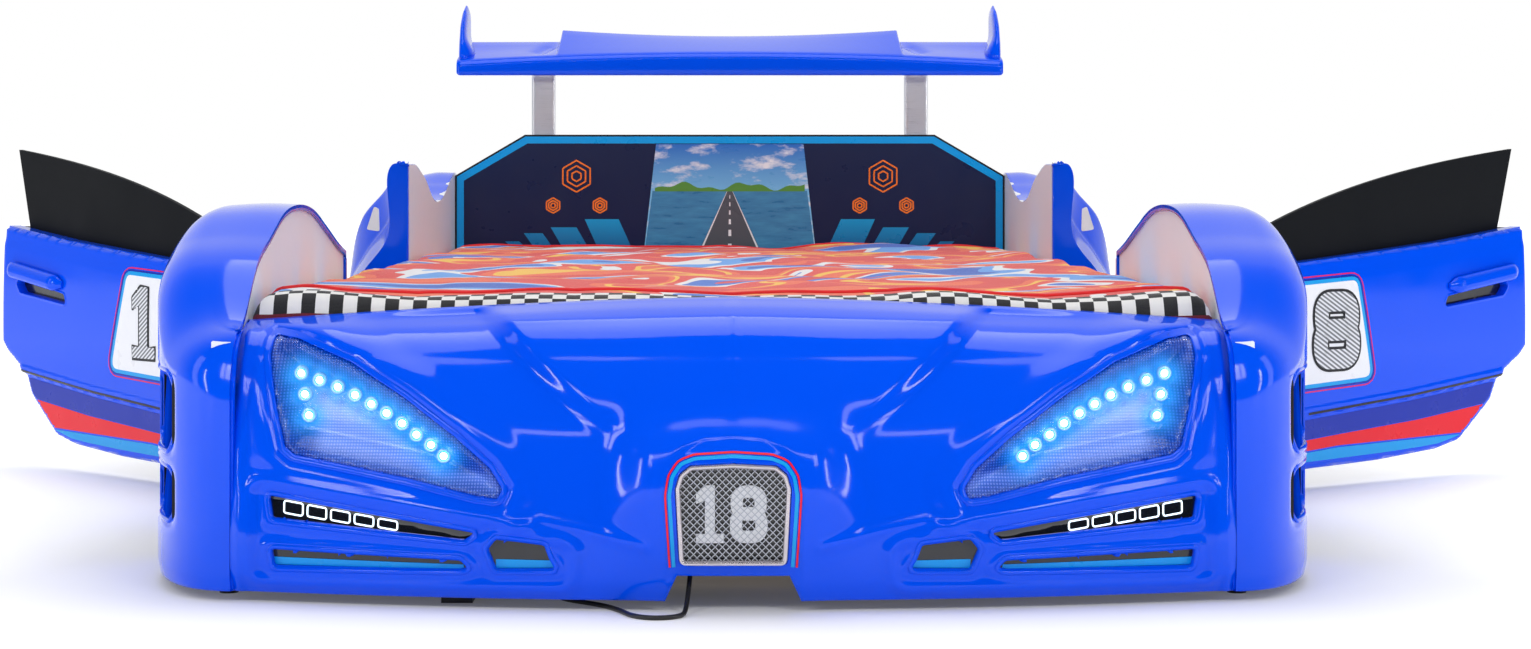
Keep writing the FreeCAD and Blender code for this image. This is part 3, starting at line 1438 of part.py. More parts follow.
# The coil: half turns that spiral inward, climb one layer and spiral outward.
half_turns = int(4 * size("coil_turns")) + 1
climb = half_turns // 2
stops = []
for index in range(half_turns + 1):
    if index <= climb:
        drawn_in = index / 2
    elif index == climb + 1:
        drawn_in = climb / 2 + 0.25
    else:
        drawn_in = (half_turns - index) / 2
    side = 1 if index % 2 == 0 else -1
    level = floor_z + (coil_pitch if index > climb else 0)
    reach_x = coil_outer - drawn_in * coil_pitch
    stops.append(Vector(coil_x + side * reach_x, coil_y, level))
coil_edges = []
coil_start = stops[0]
for index, (first, last) in enumerate(zip(stops, stops[1:])):
    heading = Vector(0, 1 if index % 2 == 0 else -1, 0)
    half_chord = (last - first).Length / 2
    joint = (first + last) * 0.5 + heading * half_chord
    for a, b, c in ((first, first + heading * half_chord, joint),
                    (joint, last + heading * half_chord, last)):
        coil_edges.append(corner_arc(a, b, c, half_chord)[0])
tail_run = Vector(0, -26, 0)
coil_end = stops[-1] + tail_run
coil_edges.append(Part.makeLine(stops[-1], coil_end))
coil = tube_along(coil_edges, cord_radius)
coil_length = sum(edge.Length for edge in coil_edges)
shaped("cord_coil", coil)


def least_gap(path_edges, diameter, step=2.0):
    """The least free gap between stretches of the path that aren't neighbours."""
    points = []
    for edge in path_edges:
        points += edge.discretize(max(2, int(edge.Length / step)))[:-1]
    least = 1e9
    skip = int(3 * diameter / step) + 2
    for i in range(len(points)):
        for j in range(i + skip, len(points)):
            least = min(least, points[i].distanceToPoint(points[j]))
    return least - diameter


print("coil's least gap to itself", round(least_gap(coil_edges, 2 * cord_radius), 2))
print("lead length", round(cord_length + coil_length, 1),
      "of which coiled", round(coil_length, 1))

PLUG_LENGTH, PLUG_WIDTH, PLUG_HEIGHT = 34, 29, 26
plug_right = coil_end.x + 3
plug_mid = plug_right - PLUG_WIDTH / 2
plug_y = coil_end.y
plug = block(plug_right - PLUG_WIDTH, plug_right, plug_y - PLUG_LENGTH, plug_y, 0, PLUG_HEIGHT)
prongs = [
    rod_y(plug_mid + step, PLUG_HEIGHT / 2, 2, plug_y - PLUG_LENGTH - 14,
          plug_y - PLUG_LENGTH + 1)
    for step in (-9.5, 9.5)
]
shaped("power_plug", plug.fuse(prongs))

# ---------------------------------------------------------------- finish

doc.recompute()
faults = []
for obj in doc.Objects:
    if "Invalid" in obj.State or "Error" in obj.State:
        faults.append(f"{obj.Name}: {obj.State}")
for obj in SUB_PARTS:
    if obj.Shape.isNull() or not obj.Shape.isValid() or not obj.Shape.Solids:
        faults.append(f"{obj.Label}: bad shape")
if faults:
    raise RuntimeError("; ".join(faults))
for obj in SUB_PARTS:
    obj.Shape.exportStep(f"parts/{obj.Label}.step")
print(len(SUB_PARTS), "sub-parts written")
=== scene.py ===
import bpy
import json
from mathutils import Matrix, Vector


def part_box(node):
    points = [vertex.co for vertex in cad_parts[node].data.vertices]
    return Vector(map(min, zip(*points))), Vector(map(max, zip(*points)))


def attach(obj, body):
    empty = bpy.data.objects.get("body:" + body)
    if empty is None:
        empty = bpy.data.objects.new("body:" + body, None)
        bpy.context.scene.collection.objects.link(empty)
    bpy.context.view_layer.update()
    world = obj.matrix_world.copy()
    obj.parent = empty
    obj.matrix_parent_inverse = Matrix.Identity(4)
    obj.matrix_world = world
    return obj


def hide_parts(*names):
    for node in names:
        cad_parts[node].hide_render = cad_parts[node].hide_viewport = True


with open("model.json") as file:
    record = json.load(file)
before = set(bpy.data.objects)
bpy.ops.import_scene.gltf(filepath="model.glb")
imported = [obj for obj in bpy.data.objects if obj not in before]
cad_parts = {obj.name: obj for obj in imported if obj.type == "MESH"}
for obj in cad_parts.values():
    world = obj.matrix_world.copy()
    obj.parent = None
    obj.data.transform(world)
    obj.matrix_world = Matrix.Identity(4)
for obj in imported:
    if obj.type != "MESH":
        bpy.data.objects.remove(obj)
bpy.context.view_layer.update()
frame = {"nodes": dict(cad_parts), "record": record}

import json
import math

import bmesh
import bpy
import numpy as np
from bpy.props import FloatProperty, FloatVectorProperty, PointerProperty

bl_info = {
    "name": "Children's Car Bed",
    "version": (1, 0, 0),
    "blender": (4, 5, 0),
    "location": "View3D > Sidebar > Car Bed",
    "description": "Finished surfaces of a children's car bed, built round its frame",
    "category": "Object",
}

MM = 0.001
RIGHT, LEFT = 1, -1
SIDES = (("left", LEFT), ("right", RIGHT))
NODES = frame["nodes"]


# ---------------------------------------------------------------- settings

def length(name, description, default):
    """A length property in metres."""
    return FloatProperty(name=name, description=description, default=default,
                         unit="LENGTH", precision=4)


def colour(name, description, default):
    """A colour property."""
    return FloatVectorProperty(name=name, description=description, default=default,
                               subtype="COLOR", size=3, min=0.0, max=1.0)


class BedSizes(bpy.types.PropertyGroup):
    """Sizes of the finished surfaces."""
    nose_y: length("Nose", "Foremost point of the bumper, behind its collar", -1.102)
    nose_bow: length("Nose Bow", "How far the bumper sweeps back at its corners", 0.060)
    crease_height: length("Bonnet Crease", "Height of the creases on the bonnet", 0.006)
    rim_height: length("Opening Rim", "Height of the rims round the openings", 0.0022)
    shell_skin: length("Shell Skin", "Thickness shown at the shells' edges", 0.0032)
    fender_round: length("Fender Rounding", "Rounding along the fender's top", 0.042)
    quilt_fold: length("Quilt Folds", "Height of the folds in the quilt", 0.005)
    cord_diameter: length("Lead Diameter", "Diameter of the electric lead", 0.0045)


class BedColours(bpy.types.PropertyGroup):
    """Colours of the finished surfaces."""
    shell: colour("Shell", "Moulded body shells", (0.0, 0.080, 0.86))
    stripe_cyan: colour("Cyan Stripe", "Light stripe", (0.0, 0.35, 0.82))
    stripe_red: colour("Red Stripe", "Red stripe", (0.85, 0.005, 0.02))
    stripe_navy: colour("Navy Stripe", "Dark stripe", (0.0, 0.022, 0.40))
    board: colour("Boards", "White melamine boards", (0.84, 0.865, 0.92))
    glow: colour("Lamp Glow", "Light round the emitters", (0.0, 0.30, 0.95))


class StageSettings(bpy.types.PropertyGroup):
    """Studio settings."""
    key_power: FloatProperty(name="Key Light", description="Power of the overhead light",
                             default=58.0, min=0.0, unit="POWER")
    fill_power: FloatProperty(name="Fill Light", description="Power of the side lights",
                              default=9.0, min=0.0, unit="POWER")
    reflected: FloatProperty(name="Reflected Surroundings", default=0.9, min=0.0,
                             description="Strength of the surroundings in reflections")
    ambient: FloatProperty(name="Ambient", description="Strength of the surroundings",
                           default=0.62, min=0.0)


def sizes():
    """The bed's sizes, as the sidebar's settings hold them."""
    return bpy.context.scene.bed_sizes


def colours():
    """The bed's colours, as the sidebar's settings hold them."""
    return bpy.context.scene.bed_colours


# ---------------------------------------------------------------- mesh helpers

def grid_part(grid, wrap_u=False, wrap_v=False, keep=None, flip=False, slot=0):
    """Quads over a grid of points: face (i, j) joins rows i, i+1 and columns j, j+1."""
    rows, columns = grid.shape[:2]
    i = np.arange(rows if wrap_u else rows - 1)[:, None]
    j = np.arange(columns if wrap_v else columns - 1)[None, :]
    i1, j1 = (i + 1) % rows, (j + 1) % columns
    faces = np.stack([i * columns + j, i1 * columns + j, i1 * columns + j1, i * columns + j1], -1)
    faces = faces.reshape(-1, 4)
    if keep is not None:
        faces = faces[keep.reshape(-1)]
    if flip:
        faces = faces[:, ::-1]
    return grid.reshape(-1, 3), faces, slot


def build(name, parts, materials, body="bed", replaced=(), angle=40.0,
          weld=0.02, places=None, outward=False):
    """One mesh object from parts given in millimetres; welded, smooth and riding on a body."""
    points = np.concatenate([p for p, _, _ in parts]) * MM
    faces, tags, start = [], [], 0
    for p, f, tag in parts:
        faces += (f + start).tolist() if isinstance(f, np.ndarray) else [
            [k + start for k in face] for face in f]
        tags += [tag] * len(f)
        start += len(p)
    mesh = bpy.data.meshes.new(name)
    mesh.from_pydata(points.tolist(), [], faces)
    for material in materials:
        mesh.materials.append(MATERIALS[material])
    mesh.polygons.foreach_set("material_index", tags)
    if places is not None:
        layer = mesh.attributes.new("place", "FLOAT_VECTOR", "POINT")
        layer.data.foreach_set("vector", np.asarray(places, np.float32).ravel())
    bm = bmesh.new()
    bm.from_mesh(mesh)
    bmesh.ops.remove_doubles(bm, verts=bm.verts, dist=weld * MM)
    loose = [v for v in bm.verts if not v.link_faces]
    bmesh.ops.delete(bm, geom=loose, context="VERTS")
    if outward:
        bmesh.ops.recalc_face_normals(bm, faces=bm.faces)
    bm.to_mesh(mesh)
    bm.free()
    mesh.polygons.foreach_set("use_smooth", [True] * len(mesh.polygons))
    mesh.set_sharp_from_angle(angle=math.radians(angle))
    obj = bpy.data.objects.new(name, mesh)
    bpy.context.scene.collection.objects.link(obj)
    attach(obj, body)
    if replaced:
        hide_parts(*replaced)
    return obj


def thicken(obj, thickness):
    """A wall behind the surface."""
    wall = obj.modifiers.new("wall", "SOLIDIFY")
    wall.thickness = thickness
    wall.offset = -1.0
    wall.use_quality_normals = True


def smooth_step(value):
    """3t^2 - 2t^3 of the value held between 0 and 1."""
    t = np.clip(value, 0, 1)
    return t * t * (3 - 2 * t)


def hermite(knots, values, at):
    """Smooth curve through knots that may differ at each point: a cubic per span whose
    end slopes are the mean slopes of the neighbouring spans."""
    slopes = (values[1:] - values[:-1]) / (knots[1:] - knots[:-1])
    ends = np.concatenate([slopes[:1], (slopes[1:] + slopes[:-1]) / 2, slopes[-1:]])
    span = np.clip((at[None] >= knots[1:-1]).sum(0), 0, len(knots) - 2)
    pick = lambda table: np.take_along_axis(table, span[None], 0)[0]
    pick_next = lambda table: np.take_along_axis(table, span[None] + 1, 0)[0]
    k0, k1, v0, v1 = pick(knots), pick_next(knots), pick(values), pick_next(values)
    m0, m1 = pick(ends), pick_next(ends)
    h = k1 - k0
    t = (at - k0) / h
    return ((2 * t ** 3 - 3 * t ** 2 + 1) * v0 + (t ** 3 - 2 * t ** 2 + t) * h * m0
            + (-2 * t ** 3 + 3 * t ** 2) * v1 + (t ** 3 - t ** 2) * h * m1)


def along_line(points, at):
    """Heights of a smooth curve through (u, v) points, at positions u."""
    u = np.array([p[0] for p in points], float)
    v = np.array([p[1] for p in points], float)
    flat = np.asarray(at, float).reshape(-1)
    out = hermite(np.repeat(u[:, None], len(flat), 1), np.repeat(v[:, None], len(flat), 1), flat)
    return out.reshape(np.shape(at))


def resampled(points, step, closed=True):
    """Points spaced evenly along a line of (u, v) points."""
    line = np.array(points, float)
    if closed:
        line = np.vstack([line, line[:1]])
    run = np.concatenate([[0], np.cumsum(np.hypot(*np.diff(line, axis=0).T))])
    count = max(8, int(round(run[-1] / step)))
    at = np.linspace(0, run[-1], count, endpoint=not closed)
    return np.stack([np.interp(at, run, line[:, k]) for k in (0, 1)], -1)


def rounded(points, radius, steps=4):
    """The closed outline with its corners replaced by short arcs of a radius."""
    line = np.array(points, float)
    before, after = np.roll(line, 1, 0), np.roll(line, -1, 0)
    into, out = before - line, after - line
    run_in, run_out = np.hypot(*into.T), np.hypot(*out.T)
    cosine = np.clip((into * out).sum(1) / run_in / run_out, -0.999, 0.999)
    reach = np.minimum(radius / np.tan(np.arccos(cosine) / 2), 0.45 * np.minimum(run_in, run_out))
    start = line + into * (reach / run_in)[:, None]
    end = line + out * (reach / run_out)[:, None]
    t = np.linspace(0, 1, steps + 1)[None, :, None]
    arcs = (start[:, None] * (1 - t) ** 2 + 2 * line[:, None] * t * (1 - t)
            + end[:, None] * t ** 2)
    return arcs.reshape(-1, 2)


def outline_gap(points, u, v, closed=True):
    """Distance from (u, v) to an outline, and its nearest point; negative inside."""
    line = np.array(points, float)
    ends = np.roll(line, -1, 0)
    if not closed:
        line, ends = line[:-1], ends[:-1]
    best = np.full(u.shape, 1e9)
    near_u, near_v = np.zeros(u.shape), np.zeros(u.shape)
    inside = np.zeros(u.shape, bool)
    for (a, b), (c, d) in zip(line, ends):
        du, dv = c - a, d - b
        t = np.clip(((u - a) * du + (v - b) * dv) / max(du * du + dv * dv, 1e-9), 0, 1)
        pu, pv = a + t * du, b + t * dv
        gap = np.hypot(u - pu, v - pv)
        closer = gap < best
        best = np.where(closer, gap, best)
        near_u, near_v = np.where(closer, pu, near_u), np.where(closer, pv, near_v)
        if closed and dv != 0:
            crossing = ((b > v) != (d > v)) & (u < du * (v - b) / dv + a)
            inside ^= crossing
    if closed:
        best = np.where(inside, -best, best)
    return best, near_u, near_v


def signed_area(line):
    """Twice the area inside a closed outline by the shoelace formula, above zero when it runs
    anticlockwise."""
    after = np.roll(line, -1, 0)
    return (line[:, 0] * after[:, 1] - after[:, 0] * line[:, 1]).sum()


def normals_of(outline):
    """Unit outward directions of a closed outline that runs either way round."""
    way = np.roll(outline, -1, 0) - np.roll(outline, 1, 0)
    normal = np.stack([way[:, 1], -way[:, 0]], -1) * (1 if signed_area(outline) > 0 else -1)
    return normal / np.maximum(np.hypot(*normal.T), 1e-9)[:, None]


def ring_grid(outline, profile):
    """A profile of (outward, depth) carried along a closed outline: (u, v, depth) rows."""
    normal = normals_of(outline)
    profile = np.array(profile, float)
    flat = outline[:, None] + normal[:, None] * profile[None, :, :1]
    depth = np.repeat(profile[None, :, 1:], len(outline), 0)
    return np.concatenate([flat, depth], -1)


def circle(u, v, radius):
    """Points round a circle."""
    turn = np.linspace(0, 2 * math.pi, 72, endpoint=False)
    return np.stack([u + radius * np.cos(turn), v + radius * np.sin(turn)], -1)


def mirror_outline(points, side):
    """The outline as it lies on the object's right or left side."""
    return np.array(points, float) * np.array([side, 1])


# ---------------------------------------------------------------- materials

MATERIALS = {}


class Wiring:
    """Shader nodes being wired together."""

    def __init__(self, tree):
        self.tree = tree

    def feed(self, socket, value):
        """Links another node's socket into this one, or sets a plain value."""
        if isinstance(value, bpy.types.NodeSocket):
            self.tree.links.new(value, socket)
        elif socket.type == "RGBA":
            socket.default_value = tuple(value)[:3] + (1.0,)
        else:
            socket.default_value = value

    def node(self, kind, *inputs, **settings):
        """A new node with its settings, its inputs fed in their own order."""
        made = self.tree.nodes.new("ShaderNode" + kind)
        for key, value in settings.items():
            setattr(made, key, value)
        for socket, value in zip(made.inputs, inputs):
            self.feed(socket, value)
        return made

    def spot(self):
        """Object coordinates."""
        return self.node("TexCoord").outputs["Object"]

    def place(self):
        """The piece's own coordinates, kept in an attribute; on the headlight bowls the attribute
        holds masks of painted light round the emitters instead.
        """
        return self.node("Attribute", attribute_name="place").outputs["Vector"]

    def axes(self, where):
        """The three coordinates, apart."""
        return self.node("SeparateXYZ", where).outputs

    def scaled(self, where, scale, turn=(0.0, 0.0, 0.0)):
        """Coordinates turned and scaled axis by axis."""
        made = self.node("Mapping", where)
        made.inputs["Scale"].default_value = scale
        made.inputs["Rotation"].default_value = turn
        return made.outputs[0]

    def noise(self, where, scale, detail=3.0, rough=0.5):
        """Cloudy noise between 0 and 1; a higher scale gives a finer one."""
        made = self.node("TexNoise", where)
        for name, value in (("Scale", scale), ("Detail", detail), ("Roughness", rough)):
            made.inputs[name].default_value = value
        return made.outputs["Fac"]

    def waves(self, where, way, scale):
        """Straight waves along an axis."""
        made = self.node("TexWave", where, bands_direction=way)
        made.inputs["Scale"].default_value = scale
        return made.outputs["Fac"]

    def crossed(self, where, ways, scale):
        """Straight waves along two axes, multiplied into a fine grid."""
        first, second = (self.waves(where, way, scale) for way in ways)
        return self.math("MULTIPLY", first, second)

    def math(self, operation, a, b=0.0):
        """One sum on one or two values."""
        return self.node("Math", a, b, operation=operation).outputs[0]

    def remap(self, value, low, high, new_low, new_high):
        """The value carried from one range to another in proportion, held at its ends."""
        return self.node("MapRange", value, low, high, new_low, new_high).outputs[0]

    def mix(self, factor, a, b):
        """The colour between a and b at a share of the way."""
        made = self.node("Mix", data_type="RGBA")
        for socket, value in ((0, factor), (6, a), (7, b)):
            self.feed(made.inputs[socket], value)
        return made.outputs[2]

    def ramp(self, value, stops, blend="LINEAR"):
        """Colours by position along a value, blended or in flat bands."""
        made = self.node("ValToRGB", value)
        table = made.color_ramp
        table.interpolation = blend
        for element, (position, tone) in zip(list(table.elements), stops):
            element.position, element.color = position, tone + (1,)
        for position, tone in stops[2:]:
            table.elements.new(position).color = tone + (1,)
        return made.outputs["Color"]


class Recipe(Wiring):
    """A node material being put together."""

    def __init__(self, name):
        self.material = bpy.data.materials.new(name)
        self.material.use_nodes = True
        super().__init__(self.material.node_tree)
        self.shader = self.tree.nodes["Principled BSDF"]
        MATERIALS[name] = self.material

    def into(self, name, value):
        """Links or sets one of the shader's own sockets."""
        self.feed(self.shader.inputs[name], value)

    def tint(self, pattern, low, high):
        """The base colour, between two colours by a pattern."""
        self.into("Base Color", self.mix(pattern, low, high))

    def gloss(self, pattern, smoothest, roughest, low=0.3, high=0.7):
        """The roughness, between two values as a pattern runs from low to high."""
        self.into("Roughness", self.remap(pattern, low, high, smoothest, roughest))

    def bump(self, height, strength, distance):
        """Fine relief, in metres of height, that bends the gloss."""
        made = self.node("Bump")
        made.inputs["Strength"].default_value = strength
        made.inputs["Distance"].default_value = distance
        self.feed(made.inputs["Height"], height)
        self.into("Normal", made.outputs["Normal"])


def shaded(colour_in, factor):
    """The colour, lighter or darker by a factor."""
    return tuple(min(1.0, c * factor) for c in tuple(colour_in)[:3])


def plastic(name, base, rough=0.3, metallic=0.0, coat=0.0, cloud=8.0, spread=0.06,
            grain=900.0, relief=0.02, rough_spread=0.05):
    """A finish whose colour and gloss drift a little over the surface, with a fine relief."""
    recipe = Recipe(name)
    where = recipe.spot()
    recipe.tint(recipe.noise(where, cloud, 4.0), shaded(base, 1 - spread),
                shaded(base, 1 + spread))
    recipe.gloss(recipe.noise(where, cloud * 5, 3.0), max(0.02, rough - rough_spread),
                 rough + rough_spread)
    recipe.into("Metallic", metallic)
    recipe.into("Coat Weight", coat)
    recipe.into("Coat Roughness", 0.06)
    if relief:
        recipe.bump(recipe.noise(where, grain, 2.0), relief, 0.0006)
    return recipe


def print_ink(name, base):
    """Printed film: faint dot grain in the colour, slightly uneven gloss."""
    recipe = Recipe(name)
    where = recipe.spot()
    recipe.tint(recipe.noise(where, 1400.0, 1.0), shaded(base, 0.93), shaded(base, 1.07))
    recipe.gloss(recipe.noise(where, 30.0), 0.26, 0.36)
    recipe.into("Specular IOR Level", 0.35)


def lit_surface(name, base, strength):
    """A light-emitting surface, its colour a little uneven."""
    recipe = Recipe(name)
    where = recipe.spot()
    recipe.tint(recipe.noise(where, 300.0), shaded(base, 0.9), shaded(base, 1.05))
    recipe.into("Emission Color", base)
    recipe.into("Emission Strength", strength)
    recipe.gloss(recipe.noise(where, 500.0), 0.15, 0.3)


# where another finish suits a frame part better than its slot in the record
OWN_FINISH = {"led_control_box": "box_black", "cord_gland": "cord_black",
              "power_cord": "cord_black", "cord_coil": "cord_black",
              "power_plug": "box_black", "headboard": "board_white",
              "fender_vents": "vent_black"}


class CARBED_OT_finishes(bpy.types.Operator):
    """Make the materials and give each frame part its own finish"""
    bl_idname = "carbed.finishes"
    bl_label = "Finishes"

    def execute(self, context):
        paint = colours()
        plastic("shell_blue", paint.shell, 0.09, coat=0.10, cloud=3.0, spread=0.05,
                relief=0.008, rough_spread=0.03).into("Specular IOR Level", 0.24)
        plastic("trim_black", (0.008, 0.009, 0.012), 0.2, coat=0.4, spread=0.2)
        plastic("vent_black", (0.005, 0.005, 0.006), 0.7, spread=0.25, relief=0.1).into(
            "Specular IOR Level", 0.06)
        plastic("panel_black", (0.006, 0.007, 0.010), 0.08, coat=0.8, spread=0.2, relief=0.0)
        plastic("window_black", (0.005, 0.006, 0.008), 0.5, spread=0.25, cloud=2.0).into(
            "Specular IOR Level", 0.08)
        plastic("door_liner", (0.028, 0.030, 0.036), 0.55, spread=0.15, relief=0.25,
                grain=700.0)
        plastic("box_black", (0.018, 0.018, 0.020), 0.45, spread=0.15, relief=0.2)
        plastic("glide_black", (0.020, 0.020, 0.021), 0.55, spread=0.2, relief=0.15)
        plastic("cord_black", (0.014, 0.014, 0.015), 0.42, spread=0.1, relief=0.1)
        plastic("lamp_bowl", (0.05, 0.20, 0.55), 0.25, coat=0.5, spread=0.1)
        plastic("fastener_steel", (0.60, 0.60, 0.61), 0.28, metallic=1.0, spread=0.08)
        plastic("rim_silver", (0.50, 0.51, 0.54), 0.30, metallic=0.85, coat=0.3, spread=0.05)
        plastic("grille_silver", (0.62, 0.57, 0.60), 0.26, metallic=0.75, coat=0.4, spread=0.06)
        for name, base in (("print_cyan", paint.stripe_cyan), ("print_red", paint.stripe_red),
                           ("print_navy", paint.stripe_navy), ("print_white", (0.86, 0.87, 0.9)),
                           ("print_black", (0.006, 0.007, 0.012)),
                           ("print_silver", (0.52, 0.54, 0.60)),
                           ("print_green", (0.10, 0.30, 0.05)),
                           ("print_road", (0.09, 0.10, 0.12)),
                           ("print_orange", (0.92, 0.20, 0.02)),
                           ("print_deep", (0.004, 0.012, 0.060)),
                           ("print_magenta", (0.70, 0.01, 0.16))):
            print_ink(name, base)
        lit_surface("led_white", (0.85, 0.95, 1.0), 3.0)
        lit_surface("drl_white", (0.8, 0.93, 1.0), 1.3)
        lit_surface("tail_red", (0.75, 0.01, 0.01), 0.25)
        self.boards(paint.board)
        self.wood()
        self.steel()
        self.cloth()
        self.tyres()
        self.lens()
        slots = {part["node"]: part["material_slot"] for part in frame["record"]["subparts"]}
        for name, node in NODES.items():
            finish = OWN_FINISH.get(name, slots.get(name))
            node.data.materials.clear()
            node.data.materials.append(MATERIALS.get(finish, MATERIALS["board_white"]))
        return {"FINISHED"}

    def boards(self, base):
        """White melamine: a slow drift in the colour, a fine pearled relief."""
        recipe = Recipe("board_white")
        where = recipe.spot()
        recipe.tint(recipe.noise(where, 2.5, 3.0), shaded(base, 0.97), shaded(base, 1.03))
        recipe.gloss(recipe.noise(where, 60.0, 4.0), 0.34, 0.46)
        recipe.bump(recipe.noise(where, 850.0, 2.0), 0.05, 0.0004)

    def wood(self):
        """Sawn softwood: long grain lines along the slats, the sine of a stretched noise."""
        recipe = Recipe("raw_wood")
        rings = recipe.noise(recipe.scaled(recipe.spot(), (1.2, 14.0, 14.0)), 9.0, 6.0, 0.62)
        lines = recipe.math("SINE", recipe.math("MULTIPLY", rings, 46.0))
        recipe.tint(recipe.remap(lines, -1.0, 1.0, 0.0, 1.0), (0.50, 0.33, 0.17),
                    (0.66, 0.48, 0.28))
        recipe.gloss(rings, 0.50, 0.68, 0.2, 0.8)
        recipe.bump(lines, 0.12, 0.0005)

    def steel(self):
        """Brushed steel: fine streaks round the post, uneven gloss."""
        recipe = Recipe("brushed_steel")
        streak = recipe.noise(recipe.scaled(recipe.spot(), (6.0, 6.0, 320.0)), 4.0, 4.0, 0.6)
        recipe.tint(streak, (0.52, 0.53, 0.56), (0.72, 0.73, 0.76))
        recipe.into("Metallic", 0.9)
        recipe.gloss(streak, 0.26, 0.42)
        recipe.bump(streak, 0.12, 0.0004)

    def tyres(self):
        """Matt black rubber with fine moulding grain and dusty patches."""
        recipe = Recipe("tyre_black")
        where = recipe.spot()
        dust = recipe.noise(where, 14.0, 5.0, 0.6)
        recipe.tint(dust, (0.012, 0.012, 0.013), (0.028, 0.028, 0.029))
        recipe.gloss(dust, 0.58, 0.78)
        recipe.bump(recipe.noise(where, 1200.0, 2.0), 0.25, 0.0005)

    def cloth(self):
        """Woven cloth: two crossed thread waves over the pad, with slight slubs."""
        recipe = Recipe("mattress_cloth")
        where = recipe.spot()
        slub = recipe.noise(where, 120.0, 3.0)
        ground = (0.80, 0.80, 0.79)
        recipe.tint(slub, shaded(ground, 0.94), shaded(ground, 1.04))
        recipe.gloss(slub, 0.82, 0.94)
        recipe.into("Sheen Weight", 0.25)
        recipe.bump(recipe.crossed(where, "XY", 900.0), 0.3, 0.0005)

    def lens(self):
        """Clear moulded plastic with a faint unevenness in its gloss."""
        recipe = Recipe("lamp_lens")
        recipe.into("Base Color", (0.82, 0.93, 1.0))
        for name, value in (("Transmission Weight", 1.0), ("IOR", 1.12), ("Alpha", 0.16)):
            recipe.into(name, value)
        recipe.gloss(recipe.noise(recipe.spot(), 60.0), 0.02, 0.06)


# ---------------------------------------------------------------- stage and camera

# the photograph's camera: sensor width and place in millimetres, the rest in its pixels
SENSOR = 36.0
FOCAL_PX = 2584
PHOTO_WIDTH = 1531
PHOTO_MIDDLE = (765.5, 324.5)
HORIZON_POINT = (726, 185)
CAMERA_AT = (-6.5, -3437, 387)


